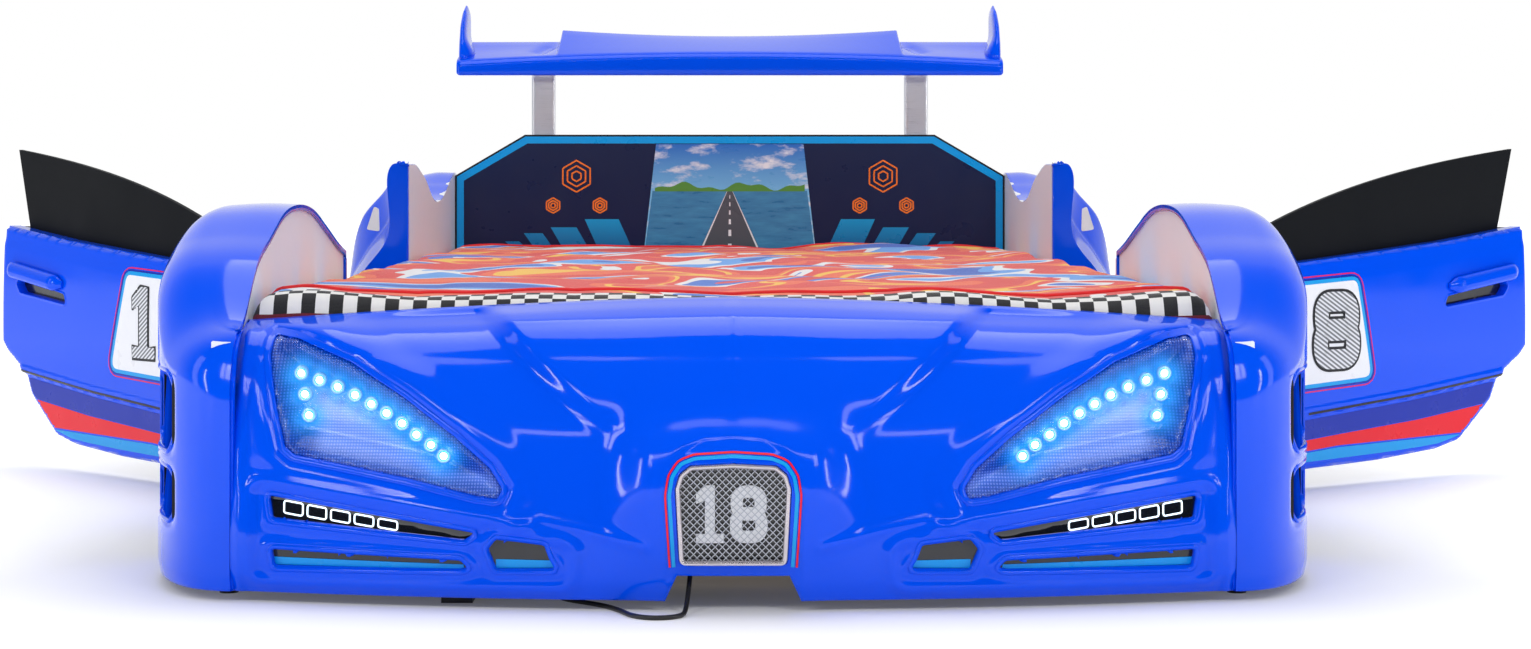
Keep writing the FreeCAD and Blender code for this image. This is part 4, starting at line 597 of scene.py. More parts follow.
class CARBED_OT_stage(bpy.types.Operator):
    """Set up the pale floor, the studio lights and the camera at the bed's foot"""
    bl_idname = "carbed.stage"
    bl_label = "Stage and Camera"

    def execute(self, context):
        scene = context.scene
        stage = scene.bed_stage
        lens = bpy.data.cameras.new("camera")
        lens.sensor_width = SENSOR
        lens.lens = FOCAL_PX / PHOTO_WIDTH * SENSOR
        lens.shift_x = (PHOTO_MIDDLE[0] - HORIZON_POINT[0]) / PHOTO_WIDTH
        lens.shift_y = (HORIZON_POINT[1] - PHOTO_MIDDLE[1]) / PHOTO_WIDTH
        lens.clip_start, lens.clip_end = 0.05, 60
        camera = bpy.data.objects.new("camera", lens)
        camera.location = [c * MM for c in CAMERA_AT]
        camera.rotation_euler = (math.radians(90), 0, 0)
        scene.collection.objects.link(camera)
        scene.camera = camera
        self.floor()
        self.surroundings(stage)
        lights = (
            ("overhead", (0, 0.1, 3.4), (0, 0, 0), (2.4, 2.6), stage.key_power),
            ("front_strip", (0, -3.9, 2.6), (52, 0, 0), (3.4, 0.30), stage.key_power * 0.30),
            ("tall_left", (-3.2, -2.5, 1.0), (84, 0, -56), (0.20, 1.5), stage.fill_power * 1.6),
            ("tall_right", (3.2, -2.5, 1.0), (84, 0, 56), (0.20, 1.5), stage.fill_power * 1.6),
            ("pane_left_1", (-1.9, -3.5, 2.1), (62, 0, -26), (0.34, 0.9), stage.fill_power),
            ("pane_left_2", (-1.5, -3.7, 2.1), (62, 0, -22), (0.34, 0.9), stage.fill_power),
            ("pane_right_1", (1.9, -3.5, 2.1), (62, 0, 26), (0.34, 0.9), stage.fill_power),
            ("pane_right_2", (1.5, -3.7, 2.1), (62, 0, 22), (0.34, 0.9), stage.fill_power),
            ("side_left", (-3.2, -1.2, 1.2), (78, 0, -72), (0.6, 2.2), stage.fill_power),
            ("side_right", (3.2, -1.2, 1.2), (78, 0, 72), (0.6, 2.2), stage.fill_power),
        )
        for name, place, turn, size, power in lights:
            lamp = bpy.data.lights.new(name, "AREA")
            lamp.shape = "RECTANGLE"
            lamp.size, lamp.size_y = size
            lamp.energy = power
            lamp.color = (1.0, 0.99, 0.97)
            obj = bpy.data.objects.new(name, lamp)
            obj.location = place
            obj.rotation_euler = [math.radians(a) for a in turn]
            scene.collection.objects.link(obj)
        scene.view_settings.view_transform = "Standard"
        scene.view_settings.look = "None"
        return {"FINISHED"}

    def surroundings(self, stage):
        """Pale surroundings that darken towards the camera's side, dimmer again where a
        surface mirrors them, and plain white where the camera sees them."""
        world = bpy.data.worlds.new("studio")
        bpy.context.scene.world = world
        world.use_nodes = True
        work = Wiring(world.node_tree)
        way = work.node("TexCoord").outputs["Generated"]
        shade = work.remap(work.axes(way)["Y"], -0.9, 0.5, 0.0, 1.0)
        ground = work.tree.nodes["Background"]
        work.feed(ground.inputs["Color"], work.ramp(shade, ((0.0, (0.20, 0.22, 0.28)),
                                                            (1.0, (0.96, 0.97, 1.0)))))
        work.feed(ground.inputs["Strength"], stage.ambient)
        dim = work.ramp(shade, ((0.68, (0.02, 0.03, 0.05)), (1.0, (1.0, 1.0, 1.0))))
        mirrored = work.node("Background", dim, stage.reflected)
        plain = work.node("Background", (1, 1, 1))
        ray = work.node("LightPath").outputs
        last = ground.outputs[0]
        for kind, ending in (("Is Glossy Ray", mirrored), ("Is Camera Ray", plain)):
            last = work.node("MixShader", ray[kind], last, ending.outputs[0]).outputs[0]
        work.feed(work.tree.nodes["World Output"].inputs["Surface"], last)

    def floor(self):
        """A wide round floor: rings of points whose radius grows as the square of the row."""
        ring = (np.linspace(0, 1, 24) ** 2 * 26)[:, None]
        turn = np.linspace(0, 2 * math.pi, 96, endpoint=False)[None, :]
        grid = np.stack([ring * np.cos(turn), ring * np.sin(turn), 0 * ring * turn], -1)
        points, faces, _ = grid_part(grid, wrap_v=True)
        mesh = bpy.data.meshes.new("studio_floor")
        mesh.from_pydata(points.tolist(), [], faces.tolist())
        recipe = Recipe("studio_paper")
        where = recipe.spot()
        recipe.tint(recipe.noise(where, 1.5), (0.90, 0.90, 0.91), (0.93, 0.93, 0.935))
        recipe.gloss(recipe.noise(where, 4.0), 0.7, 0.8)
        recipe.into("Specular IOR Level", 0.15)
        # Painted light: the floor glows more beside the bed, where it lifts the doors' shadows,
        # and more again far from the bed, where it turns white.
        aside = recipe.math("ABSOLUTE", recipe.axes(where)[0])
        reach = recipe.node("VectorMath", where, operation="LENGTH").outputs["Value"]
        beside = recipe.remap(aside, 0.60, 1.05, 0.0, 0.46)
        recipe.into("Emission Color", (0.97, 0.98, 1.0))
        recipe.into("Emission Strength", recipe.math(
            "MAXIMUM", beside, recipe.remap(reach, 1.0, 3.4, 0.06, 0.85)))
        mesh.materials.append(recipe.material)
        obj = bpy.data.objects.new("studio_floor", mesh)
        bpy.context.scene.collection.objects.link(obj)


# ---------------------------------------------------------------- electric lead

LEAD_ROUTE = [
    (-38, -1036.3, 50), (-38, -1062, 50), (-39, -1082, 33), (-41, -1098, 15),
    (-43, -1114, 3.05), (-46, -1128, 2.25), (-56, -1138, 2.25), (-70, -1141, 2.25),
    (-83, -1136, 2.25), (-93, -1124, 2.25), (-101, -1103, 2.25), (-113, -1080, 2.25),
    (-131, -1060, 2.25), (-149, -1044, 2.25), (-160, -1030, 2.25), (-165.8, -1008, 2.25),
]
COIL_CENTRE = (-205.0, -985.0)
COIL_RADIUS = 39.2
COIL_PITCH = 5.3
COIL_STOPS = 18
COIL_LAYERS = (2.25, 7.55)


def lead_points():
    """The lead's route: out of its gland, over the floor, then a coil of half turns that
    spirals in on the floor, climbs a layer and spirals out, and a straight run to the plug."""
    stop = np.arange(COIL_STOPS)
    drawn = np.where(stop <= 8, stop / 2, np.where(stop == 9, 4.25, (17 - stop) / 2))
    reach = np.where(stop % 2 == 0, 1, -1) * (COIL_RADIUS - drawn * COIL_PITCH)
    level = np.where(stop <= 8, COIL_LAYERS[0], COIL_LAYERS[1])
    turn = np.linspace(0, np.pi, 9)[:-1]
    middle = (reach[:-1] + reach[1:]) / 2
    half = (reach[:-1] - reach[1:]) / 2
    way = np.where(stop[:-1] % 2 == 0, 1, -1)[:, None]
    x = COIL_CENTRE[0] + middle[:, None] + half[:, None] * np.cos(turn)
    y = COIL_CENTRE[1] + way * np.abs(half)[:, None] * np.sin(turn)
    z = level[:-1, None] + (level[1:] - level[:-1])[:, None] * turn / np.pi
    # control points of a curve lie a little outside the circle that it follows
    bulge = 1 + 0.5 * (np.pi / 8) ** 2 / 1.9
    y = COIL_CENTRE[1] + (y - COIL_CENTRE[1]) * bulge
    coil = np.stack([x, y, z], -1).reshape(-1, 3)
    end_x = COIL_CENTRE[0] + reach[-1]
    tail = [(end_x, COIL_CENTRE[1] - step, COIL_LAYERS[1]) for step in (0, 9, 17, 26)]
    return np.concatenate([np.array(LEAD_ROUTE, float), coil, np.array(tail)]) * MM


class CARBED_OT_lead(bpy.types.Operator):
    """Lay the low-voltage lead from its gland to the plug, with its spare length coiled"""
    bl_idname = "carbed.lead"
    bl_label = "Electric Lead"

    def execute(self, context):
        points = lead_points()
        curve = bpy.data.curves.new("lead", "CURVE")
        curve.dimensions = "3D"
        spline = curve.splines.new("NURBS")
        spline.points.add(len(points) - 1)
        homogeneous = np.concatenate([points, np.ones((len(points), 1))], 1)
        spline.points.foreach_set("co", homogeneous.ravel())
        spline.order_u = 3
        spline.use_endpoint_u = True
        spline.resolution_u = 6
        curve.resolution_u = 6
        curve.bevel_depth = sizes().cord_diameter / 2
        curve.bevel_resolution = 4
        curve.use_fill_caps = True
        curve.materials.append(MATERIALS["cord_black"])
        lead = bpy.data.objects.new("lead", curve)
        context.scene.collection.objects.link(lead)
        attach(lead, "bed")
        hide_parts("power_cord", "cord_coil")
        gland = self.gland()
        return {"FINISHED"}

    def gland(self):
        """A tapering sleeve with seven rings: radius falls from 8 to 3.4 mm along the way,
        and each ring is a raised cosine on it."""
        along = np.linspace(0, 1, 64)[:, None]
        around = np.linspace(0, 2 * np.pi, 28, endpoint=False)[None, :]
        radius = (8 - 4.6 * along) - 0.55 * (1 - np.cos(along * 2 * np.pi * 7)) / 2
        radius = np.where(along < 0.06, 9.5, radius)
        grid = np.stack([-38 + radius * np.cos(around), -1014.4 - 21.9 * along + 0 * around,
                         50 + radius * np.sin(around)], -1)
        cap = np.stack([np.full(28, -38.0), np.full(28, -1036.3), np.full(28, 50.0)], -1)
        rings = np.concatenate([grid, cap[None] + (grid[-1] - cap)[None] * 0.66], 0)
        return build("lead_sleeve", [grid_part(rings, wrap_v=True, flip=True)],
                     ["cord_black"], replaced=("cord_gland",),
                     outward=True)


# ---------------------------------------------------------------- front bumper

SEAM = 466.0
SKIRT = 10.0
BAY_FRONT = -940.0
BODY_HALF = 575.0
COLLAR = (72.0, 125.0)
TURN_IN = np.array([0, 1, 0]) * np.linspace(0, 14, 4)[None, :, None]
NOTCH = [(-64, 5), (64, 5), (51, 34), (-51, 34)]
LAMP = [(435, 247), (410, 243), (357, 223), (304, 192), (253, 156), (221, 129), (209, 110),
        (214, 99), (236, 102), (300, 117), (366, 129), (407, 136), (417, 144), (427, 182),
        (437, 228)]
LED_ROW = [(406, 210), (388, 204), (370, 198), (353, 191), (337, 183), (322, 175), (307, 166),
           (293, 156), (279, 147), (267, 137), (401, 191), (396, 172)]
RUNNING_LIGHT = [(430, 101), (426, 79), (244, 63), (233, 71)]
LOW_SLOT = [(427, 52), (424, 35), (248, 36), (240, 38), (248, 46)]
MIDDLE_SLOT = [(224, 56), (216, 66), (171, 61), (166, 48), (160, 38), (216, 37)]
GRILLE = [(49, 44), (53, 114), (49, 127), (39, 135), (0, 137), (-39, 135), (-49, 127),
          (-53, 114), (-49, 44)]
CREASE = [(46, 104), (84, 146), (126, 186), (176, 231), (226, 276), (276, 321)]
FLANK_CREASE = [(232, 60), (176, 84), (130, 74), (80, 60)]


def flat_hermite(knots, values, at):
    """The smooth curve of every grid point at once, for knots given as whole arrays."""
    shape = at.shape
    return hermite(np.stack([np.broadcast_to(k, shape).ravel() for k in knots]),
                   np.stack([np.broadcast_to(v, shape).ravel() for v in values]),
                   at.ravel()).reshape(shape)


def bonnet_rear(x):
    """Height of the bonnet's rear edge: highest in the middle, falling as |x|^1.5."""
    return 279 - 22 * (np.abs(x) / SEAM) ** 1.5


def bumper_form(x, z):
    """Y of the plain bumper: a smooth curve up through seven heights, swept back towards
    the corners as x^2 and pushed forward round the grille."""
    share = np.abs(x) / SEAM
    front = sizes().nose_y / MM + sizes().nose_bow / MM * share ** 2
    collar = smooth_step((COLLAR[1] - np.abs(x)) / (COLLAR[1] - COLLAR[0]))
    top = bonnet_rear(x)
    depth = BAY_FRONT - front
    knots = (SKIRT, 30.0, 110 + 35 * collar, 180.0, 225.0, top - 0.114 * depth, top)
    values = (front + 8, front, front + 4 - 12 * collar, front + 0.15 * depth,
              front + 0.36 * depth, front + 0.62 * depth, BAY_FRONT)
    return flat_hermite(knots, values, z)


def ridge(gap, width):
    """A rounded ridge of height 1 over a distance: exp(-(gap/width)^2)."""
    return np.exp(-(gap / width) ** 2)


def bumper_relief(x, z):
    """Height above the plain form: bonnet creases with a valley outside them, a brow and a
    lip round each lamp, a bead round each slot, the grille's collar and the edge beads."""
    side = np.abs(x)
    crease = sizes().crease_height / MM
    gap = outline_gap(CREASE, side, z, closed=False)[0]
    line_x = np.interp(z, [p[1] for p in CREASE], [p[0] for p in CREASE],
                       left=46, right=276)
    inside = side < line_x
    reach = smooth_step((z - 148) / 62)
    bulge = np.where(inside, crease * (1 - 0.3 * smooth_step(gap / 90)),
                     crease * (1 - 1.9 * smooth_step(gap / 24)
                               + 0.9 * smooth_step((gap - 30) / 110)))
    relief = bulge * reach
    relief += 1.3 * ridge(side, 5) * smooth_step((z - 170) / 30)
    lamp_gap = outline_gap(LAMP, side, z)[0]
    brow = smooth_step((lamp_gap - 2) / 10) * (1 - smooth_step((lamp_gap - 16) / 22))
    relief += 3.4 * brow
    relief -= 2.2 * ridge(lamp_gap - 1.5, 3)
    for slot in (RUNNING_LIGHT, LOW_SLOT, MIDDLE_SLOT):
        relief += 1.8 * ridge(outline_gap(slot, side, z)[0] - 5, 3.2)
    surround = rounded([(446, 112), (446, 24), (150, 24), (146, 60), (222, 80)], 12)
    surround_gap = outline_gap(surround, side, z)[0]
    relief += 3.2 * ridge(surround_gap - 4, 6) - 3.0 * smooth_step(-surround_gap / 8) * (
        1 - smooth_step(-(surround_gap + 30) / 20)) * 0.4
    flank = outline_gap(FLANK_CREASE, side, z, closed=False)[0]
    relief += 2.4 * ridge(flank, 6)
    collar = rounded([(61, 0), (63, 60), (66, 100), (64, 128), (50, 150), (28, 160), (0, 162)]
                     + [(-28, 160), (-50, 150), (-64, 128), (-66, 100), (-63, 60), (-61, 0)], 6)
    collar_gap = outline_gap(collar, side, z)[0]
    relief += 2.8 * ridge(np.maximum(collar_gap, 0), 24) * (1 - 0.6 * smooth_step(
        -collar_gap / 6))
    relief += 2.2 * ridge(side - 458, 4) - 0.8 * smooth_step((side - 462) / 4)
    return relief


def bumper_skin(x, z, under=0.0):
    """Y of the finished bumper: the plain form less its relief measured square to it, less
    an amount towards the inside."""
    x, z = np.asarray(x, float), np.asarray(z, float)
    high = bonnet_rear(x)
    z = np.minimum(z, high)
    base = bumper_form(x, z)
    slope_z = (bumper_form(x, np.minimum(z + 0.5, high)) - bumper_form(x, z - 0.5)) / (
        np.minimum(z + 0.5, high) - z + 0.5)
    slope_x = (bumper_form(x + 0.5, np.minimum(z, bonnet_rear(np.abs(x) + 0.5)))
               - bumper_form(x - 0.5, np.minimum(z, bonnet_rear(np.abs(x) + 0.5))))
    square = np.sqrt(1 + np.clip(slope_z, -3, 3) ** 2 + np.clip(slope_x, -1, 1) ** 2)
    fade = smooth_step((high - z) / 9 + 0.05)
    return base - bumper_relief(x, z) * square * fade + under * square


def whole_cells(corner):
    """The cells of a grid whose four corners are all marked."""
    return corner[:-1, :-1] & corner[1:, :-1] & corner[:-1, 1:] & corner[1:, 1:]


def cut_out(u, v, outlines, near_by):
    """Pulls grid points near an opening's edge onto it, and tells which faces stay: those
    with no corner inside an opening."""
    u, v = u.copy(), v.copy()
    solid = np.ones(u.shape, bool)
    for outline in outlines:
        gap, near_u, near_v = outline_gap(outline, u, v)
        pull = np.abs(gap) < near_by
        u[pull], v[pull] = near_u[pull], near_v[pull]
        solid &= (gap >= 0) | pull
    return u, v, whole_cells(solid)


EDGE_PULL = 0.62


def fill_in(outline, step, bound=None):
    """A grid over the inside of an outline, or over what it shares with a bound: points near
    the edge are pulled onto it."""
    line = np.array(outline, float)
    low, high = line.min(0) - step, line.max(0) + step
    u, v = np.meshgrid(np.arange(low[0], high[0] + step, step),
                       np.arange(low[1], high[1] + step, step), indexing="ij")
    gap, near_u, near_v = outline_gap(outline, u, v)
    if bound is not None:
        other, other_u, other_v = outline_gap(bound, u, v)
        near_u = np.where(gap > other, near_u, other_u)
        near_v = np.where(gap > other, near_v, other_v)
        gap = np.maximum(gap, other)
    pull = np.abs(gap) < EDGE_PULL * step
    u[pull], v[pull] = near_u[pull], near_v[pull]
    return u, v, whole_cells((gap < 0) | pull)


def grown(points, amount):
    """The outline with rounded corners, moved outward by an amount."""
    line = resampled(rounded(points, 3), 3.0)
    return line + normals_of(line) * amount


def facing(u, v, depth, side=RIGHT):
    """Points of a front-facing surface from x, z and y."""
    return np.stack([u * side, depth, v], -1)


def rim_part(outline, profile, side=RIGHT, slot=0, step=3.0, radius=5.0):
    """A bead and wall carried round an opening: profile of (outward, depth into the shell)."""
    line = resampled(rounded(outline, radius), step)
    u, v, depth = np.moveaxis(ring_grid(line, profile), -1, 0)
    return grid_part(facing(u, v, bumper_skin(u, v) + depth, side), wrap_u=True, slot=slot,
                     flip=(signed_area(line) > 0) == (side == LEFT))


class CARBED_OT_front_bumper(bpy.types.Operator):
    """Make the one-piece bonnet and bumper shell with its creases and openings"""
    bl_idname = "carbed.front_bumper"
    bl_label = "Front Bumper"

    def execute(self, context):
        across = np.concatenate([np.linspace(0, 462, 172), [463.2, 464.3, 465.3, 466.0]])
        x = np.concatenate([-across[:0:-1], across])
        share = np.linspace(0, 1, 134)
        climb = 1 - (1 - share) ** 1.35 * (1 + 0.35 * share)
        climb = share * 0.72 + climb * 0.28
        x, climb = np.meshgrid(x, climb, indexing="ij")
        z = SKIRT + (bonnet_rear(x) - SKIRT) * climb
        outlines = [mirror_outline(rounded(shape, radius), side)
                    for shape, radius in ((LAMP, 5), (RUNNING_LIGHT, 3), (LOW_SLOT, 3),
                                          (MIDDLE_SLOT, 3)) for side in (RIGHT, LEFT)]
        outlines += [rounded(GRILLE, 4), np.array(NOTCH, float)]
        x, z, keep = cut_out(x, z, outlines, 1.35)
        grid = facing(x, z, bumper_skin(x, z))
        folds = [grid_part(grid[row][:, None] + TURN_IN, flip=turned)
                 for row, turned in ((0, True), (-1, False))]
        skin = build("bumper_shell", [grid_part(grid, keep=keep)] + folds,
                     ["shell_blue"],
                     replaced=("front_bumper",), angle=70)
        thicken(skin, sizes().shell_skin)
        rim = sizes().rim_height / MM
        slot_rim = [(4.5, 0.4), (3.4, -0.7 * rim), (1.6, -rim), (0.2, -0.8 * rim), (-0.9, 0.4),
                    (-1.2, 3), (-1.2, 10)]
        lamp_rim = [(5.0, 0.5), (3.8, -0.8 * rim), (1.8, -rim), (0.2, -0.7 * rim), (-1.0, 0.8),
                    (-1.6, 4), (-2.2, 12), (-2.6, 22)]
        parts = []
        for side in (RIGHT, LEFT):
            parts.append(rim_part(LAMP, lamp_rim, side))
            for shape in (RUNNING_LIGHT, LOW_SLOT, MIDDLE_SLOT):
                parts.append(rim_part(shape, slot_rim, side, radius=3.0))
        parts.append(rim_part(GRILLE, [(1.6, 0.3), (0.8, -0.5), (0.1, -0.3), (-0.4, 3),
                                       (-0.4, 12)], radius=4.0))
        build("bumper_rims", parts, ["shell_blue"], angle=70)
        self.stripes()
        return {"FINISHED"}

    def stripes(self):
        """Two printed lines that follow the grille's sides and top."""
        arch = [(51.5, 40), (55.5, 108), (53, 124), (46, 134.5), (34, 139), (0, 141), (-34, 139),
                (-46, 134.5), (-53, 124), (-55.5, 108), (-51.5, 40)]
        line = resampled(rounded([(60, 20)] + arch + [(-60, 20)], 8)[3:-3], 3.0, closed=False)
        line = line[(line[:, 1] > 40)]
        way = np.gradient(line, axis=0)
        normal = np.stack([way[:, 1], -way[:, 0]], -1)
        normal /= np.hypot(*normal.T)[:, None]
        parts = []
        for low, high, slot in ((0.4, 3.6, 0), (4.8, 6.6, 1)):
            reach = np.array([low, low, high, high])
            lift = np.array([0.6, -1.0, -1.0, 0.6])
            flat = line[:, None] + normal[:, None] * reach[None, :, None]
            y = bumper_skin(flat[..., 0], flat[..., 1]) + lift
            parts.append(grid_part(facing(flat[..., 0], flat[..., 1], y), slot=slot, flip=True))
        build("grille_stripes", parts, ["print_cyan", "print_red"])


# ---------------------------------------------------------------- lamps and slots

EMITTER_DEPTH = 22


def domes(centres, radius, bulge):
    """Small domes: a quarter circle turned round the y axis at each centre."""
    turn = np.linspace(0, math.pi / 2, 5)[:, None]
    around = np.linspace(0, 2 * math.pi, 14, endpoint=False)[None, :]
    unit = np.stack([np.sin(turn) * np.cos(around) * radius,
                     -np.cos(turn) * bulge + 0 * around,
                     np.sin(turn) * np.sin(around) * radius], -1)
    return [grid_part(unit + np.array(centre), wrap_v=True) for centre in centres]


class CARBED_OT_headlights(bpy.types.Operator):
    """Make the headlight bowls with their lit emitters and clear lenses"""
    bl_idname = "carbed.headlights"
    bl_label = "Headlights"

    def execute(self, context):
        self.bowl_finish()
        for name, side in SIDES:
            outline = rounded(LAMP, 5)
            u, v, keep = fill_in(outline, 3.2)
            edge = -outline_gap(outline, u, v)[0]
            depth = 4 + 20 * smooth_step(edge / 26)
            row_gap = np.min([np.hypot(u - a, v - b) for a, b in LED_ROW], axis=0)
            below = np.interp(u, [p[0] for p in LED_ROW[9::-1]], [p[1] for p in LED_ROW[9::-1]])
            y = bumper_skin(u, v) + depth
            grid = facing(u, v, y, side)
            # Painted light: a glow round each emitter (lit) and a pale zone under the row that
            # glows faintly (zone); the place attribute carries both to the bowl's finish.
            lit = np.exp(-(row_gap / 15) ** 2)
            zone = smooth_step((below - 9 - v) / 10) * smooth_step((398 - u) / 22)
            places = np.stack([lit, zone, np.clip(edge / 18, 0, 1)], -1).reshape(-1, 3)
            points, faces, _ = grid_part(grid, keep=keep, flip=side == LEFT)
            used = np.zeros(len(points), bool)
            used[faces.ravel()] = True
            index = np.cumsum(used) - 1
            obj = build(f"headlight_bowl_{name}", [(points[used], index[faces], 0)], ["reflector"],
                        replaced=(f"headlight_bowl_{name}",),
                        places=places[used], weld=0.001)
            thicken(obj, 0.0015)
            lens_y = bumper_skin(u, v) + 1.0 + 2.2 * smooth_step(1 - edge / 12)
            lens = build(f"headlight_lens_{name}",
                         [grid_part(facing(u, v, lens_y, side), keep=keep, flip=side == LEFT)],
                         ["lamp_lens"],
                         replaced=(f"headlight_lens_{name}",))
            thicken(lens, 0.0012)
        across, up = np.array(LED_ROW, float).T
        depth = bumper_skin(across, up) + EMITTER_DEPTH - 2
        centres = [(side * a, y, b) for side in (RIGHT, LEFT)
                   for a, y, b in zip(across, depth, up)]
        around = np.linspace(0, 2 * math.pi, 18, endpoint=False)[:, None]
        profile = np.array([(4.6, 0.2), (5.6, -1.4), (6.6, -1.0), (7.2, 1.5), (7.2, 6)])
        ring = np.stack([profile[None, :, 0] * np.cos(around), profile[None, :, 1] + 0 * around,
                         profile[None, :, 0] * np.sin(around)], -1)
        cups = [grid_part(ring + np.array(centre), wrap_u=True, slot=1, flip=True)
                for centre in centres]
        build("headlight_emitters", domes(centres, 3.5, 2.8) + cups,
              ["led_white", "lamp_cup"], replaced=("headlight_leds",))
        return {"FINISHED"}

    def bowl_finish(self):
        """Moulded reflector: fine prism grid, dark blue towards the rim. Painted light from the
        emitters:
        whiter and glowing round each of them, and a faint glow over the pale zone of flutes under
        them."""
        plastic("lamp_cup", (0.30, 0.62, 0.95), 0.15, coat=0.6, relief=0.0)
        recipe = Recipe("reflector")
        lit, zone, edge = recipe.axes(recipe.place())
        prism = recipe.crossed(recipe.spot(), "XZ", 115.0)
        # The pale zone under the emitters, fading out within 18 mm of the rim; pale, with a faint
        # painted glow.
        pale_glow_zone = recipe.math("MULTIPLY", zone, edge)
        deep = recipe.mix(prism, (0.0, 0.030, 0.34), (0.0, 0.13, 0.78))
        pale = recipe.mix(prism, (0.10, 0.24, 0.80), (0.42, 0.52, 0.98))
        base = recipe.mix(pale_glow_zone, deep, pale)
        # Painted light: the colour turns whiter round each emitter.
        recipe.tint(lit, base, (0.03, 0.42, 0.95))
        # Painted light: a glow round each emitter and a fainter one over the pale zone.
        recipe.into("Emission Color", recipe.mix(lit, base, colours().glow))
        recipe.into("Emission Strength", recipe.math(
            "ADD", recipe.math("MULTIPLY", lit, 0.55), recipe.math("MULTIPLY", pale_glow_zone, 0.22)))
        recipe.gloss(prism, 0.22, 0.36, 0.0, 1.0)
        recipe.into("Coat Weight", 0.3)
        recipe.bump(prism, 0.35, 0.0012)


class CARBED_OT_slots(bpy.types.Operator):
    """Make the running-light panels and the dark backs of the bumper's slots"""
    bl_idname = "carbed.slots"
    bl_label = "Running Lights and Slots"

    FRAMES = tuple(((415 - 22.4 * k, 95.5 - 3.5 * k), (397 - 22.4 * k, 81.5 - 2.7 * k))
                   for k in range(5))
    WIRE = [(0.8 * math.cos(a), -0.8 * math.sin(a) + 3.9)
            for a in np.linspace(0, 2 * math.pi, 9)]
    STRIPS = ([(425, 43.5), (424, 36.5), (250, 37), (243, 38.5), (246, 41)],
              [(216, 46.5), (216, 38.5), (161.5, 39.5), (165, 46)])

    def execute(self, context):
        for name, side in SIDES:
            parts = [self.plate(grown(RUNNING_LIGHT, 4), 4.0, 4.6, side)]
            for (x1, z1), (x0, z0) in self.FRAMES:
                lean = 0.15 * (x1 - x0)
                tall = z1 - z0 - lean
                outline = [(x0, z0), (x1, z0 + lean), (x1, z0 + lean + tall), (x0, z0 + tall)]
                parts.append(rim_part(outline, self.WIRE, side, slot=1, radius=2.2, step=1.2))
            build(f"running_light_{name}", parts,
                  ["panel_black", "drl_white"],
                  replaced=(f"drl_panel_{name}",))
        parts = []
        for side in (RIGHT, LEFT):
            parts += [self.plate(grown(shape, 4), 3.6, 6.0, side)
                      for shape in (LOW_SLOT, MIDDLE_SLOT)]
            parts += [self.plate(strip, 2.6, 5.2, side, slot=1) for strip in self.STRIPS]
        build("slot_backs", parts, ["trim_black", "print_cyan"], replaced=("slot_trims",))
        return {"FINISHED"}

    @staticmethod
    def plate(outline, step, depth, side, slot=0):
        """A plate over an outline, at a depth behind the bumper's skin."""
        u, v, keep = fill_in(outline, step)
        return grid_part(facing(u, v, bumper_skin(u, v) + depth, side), keep=keep,
                         flip=side == LEFT, slot=slot)


# ---------------------------------------------------------------- grille

def ribbon(line, half, y, thick, slot=0):
    """A flat band of even width along a closed line in the x-z plane, with closed sides."""
    ring = ring_grid(line, [(-half, thick), (-half, 0), (half, 0), (half, thick),
                            (-half, thick)])
    return grid_part(facing(ring[..., 0], ring[..., 1], ring[..., 2] + y), wrap_u=True,
                     slot=slot, flip=signed_area(line) > 0)


def slab(outline, y, thick, slot=0):
    """A flat plate over a convex or star-shaped outline, facing the front."""
    line = np.array(outline, float)
    if signed_area(line) < 0:
        line = line[::-1]
    count = len(line)
    front = np.stack([line[:, 0], np.full(count, y), line[:, 1]], -1)
    back = front + np.array([0, thick, 0])
    points = np.concatenate([front, back])
    ring = np.arange(count)
    sides = np.stack([ring, ring + count, (ring + 1) % count + count, (ring + 1) % count], -1)
    faces = [list(range(count))] + [list(range(2 * count - 1, count - 1, -1))] + sides.tolist()
    return points, faces, slot


def numeral_one(x, z, width, height):
    """Outline of a slab-serif figure one whose foot is centred at (x, z)."""
    w, h = width / 2, height
    shape = [(-w, 0), (w, 0), (w, 0.16 * h), (0.36 * w, 0.16 * h), (0.36 * w, h),
             (-0.30 * w, h), (-w, 0.84 * h), (-w, 0.68 * h), (-0.36 * w, 0.74 * h),
             (-0.36 * w, 0.16 * h), (-w, 0.16 * h)]
    return [(x + a, z + b) for a, b in shape]


def numeral_eight(x, z, width, height, bar):
    """Centre lines of a squarish figure eight: two rounded loops that share a bar."""
    w = width / 2 - bar / 2
    loops = []
    for low, high, squeeze in ((bar / 2, 0.52 * height, 1.0),
                               (0.52 * height - bar * 0.1, height - bar / 2, 0.94)):
        v = w * squeeze
        loop = rounded([(x - v, z + low), (x + v, z + low), (x + v, z + high),
                        (x - v, z + high)], bar * 0.8, 5)
        loops.append(resampled(loop, 1.6))
    return loops


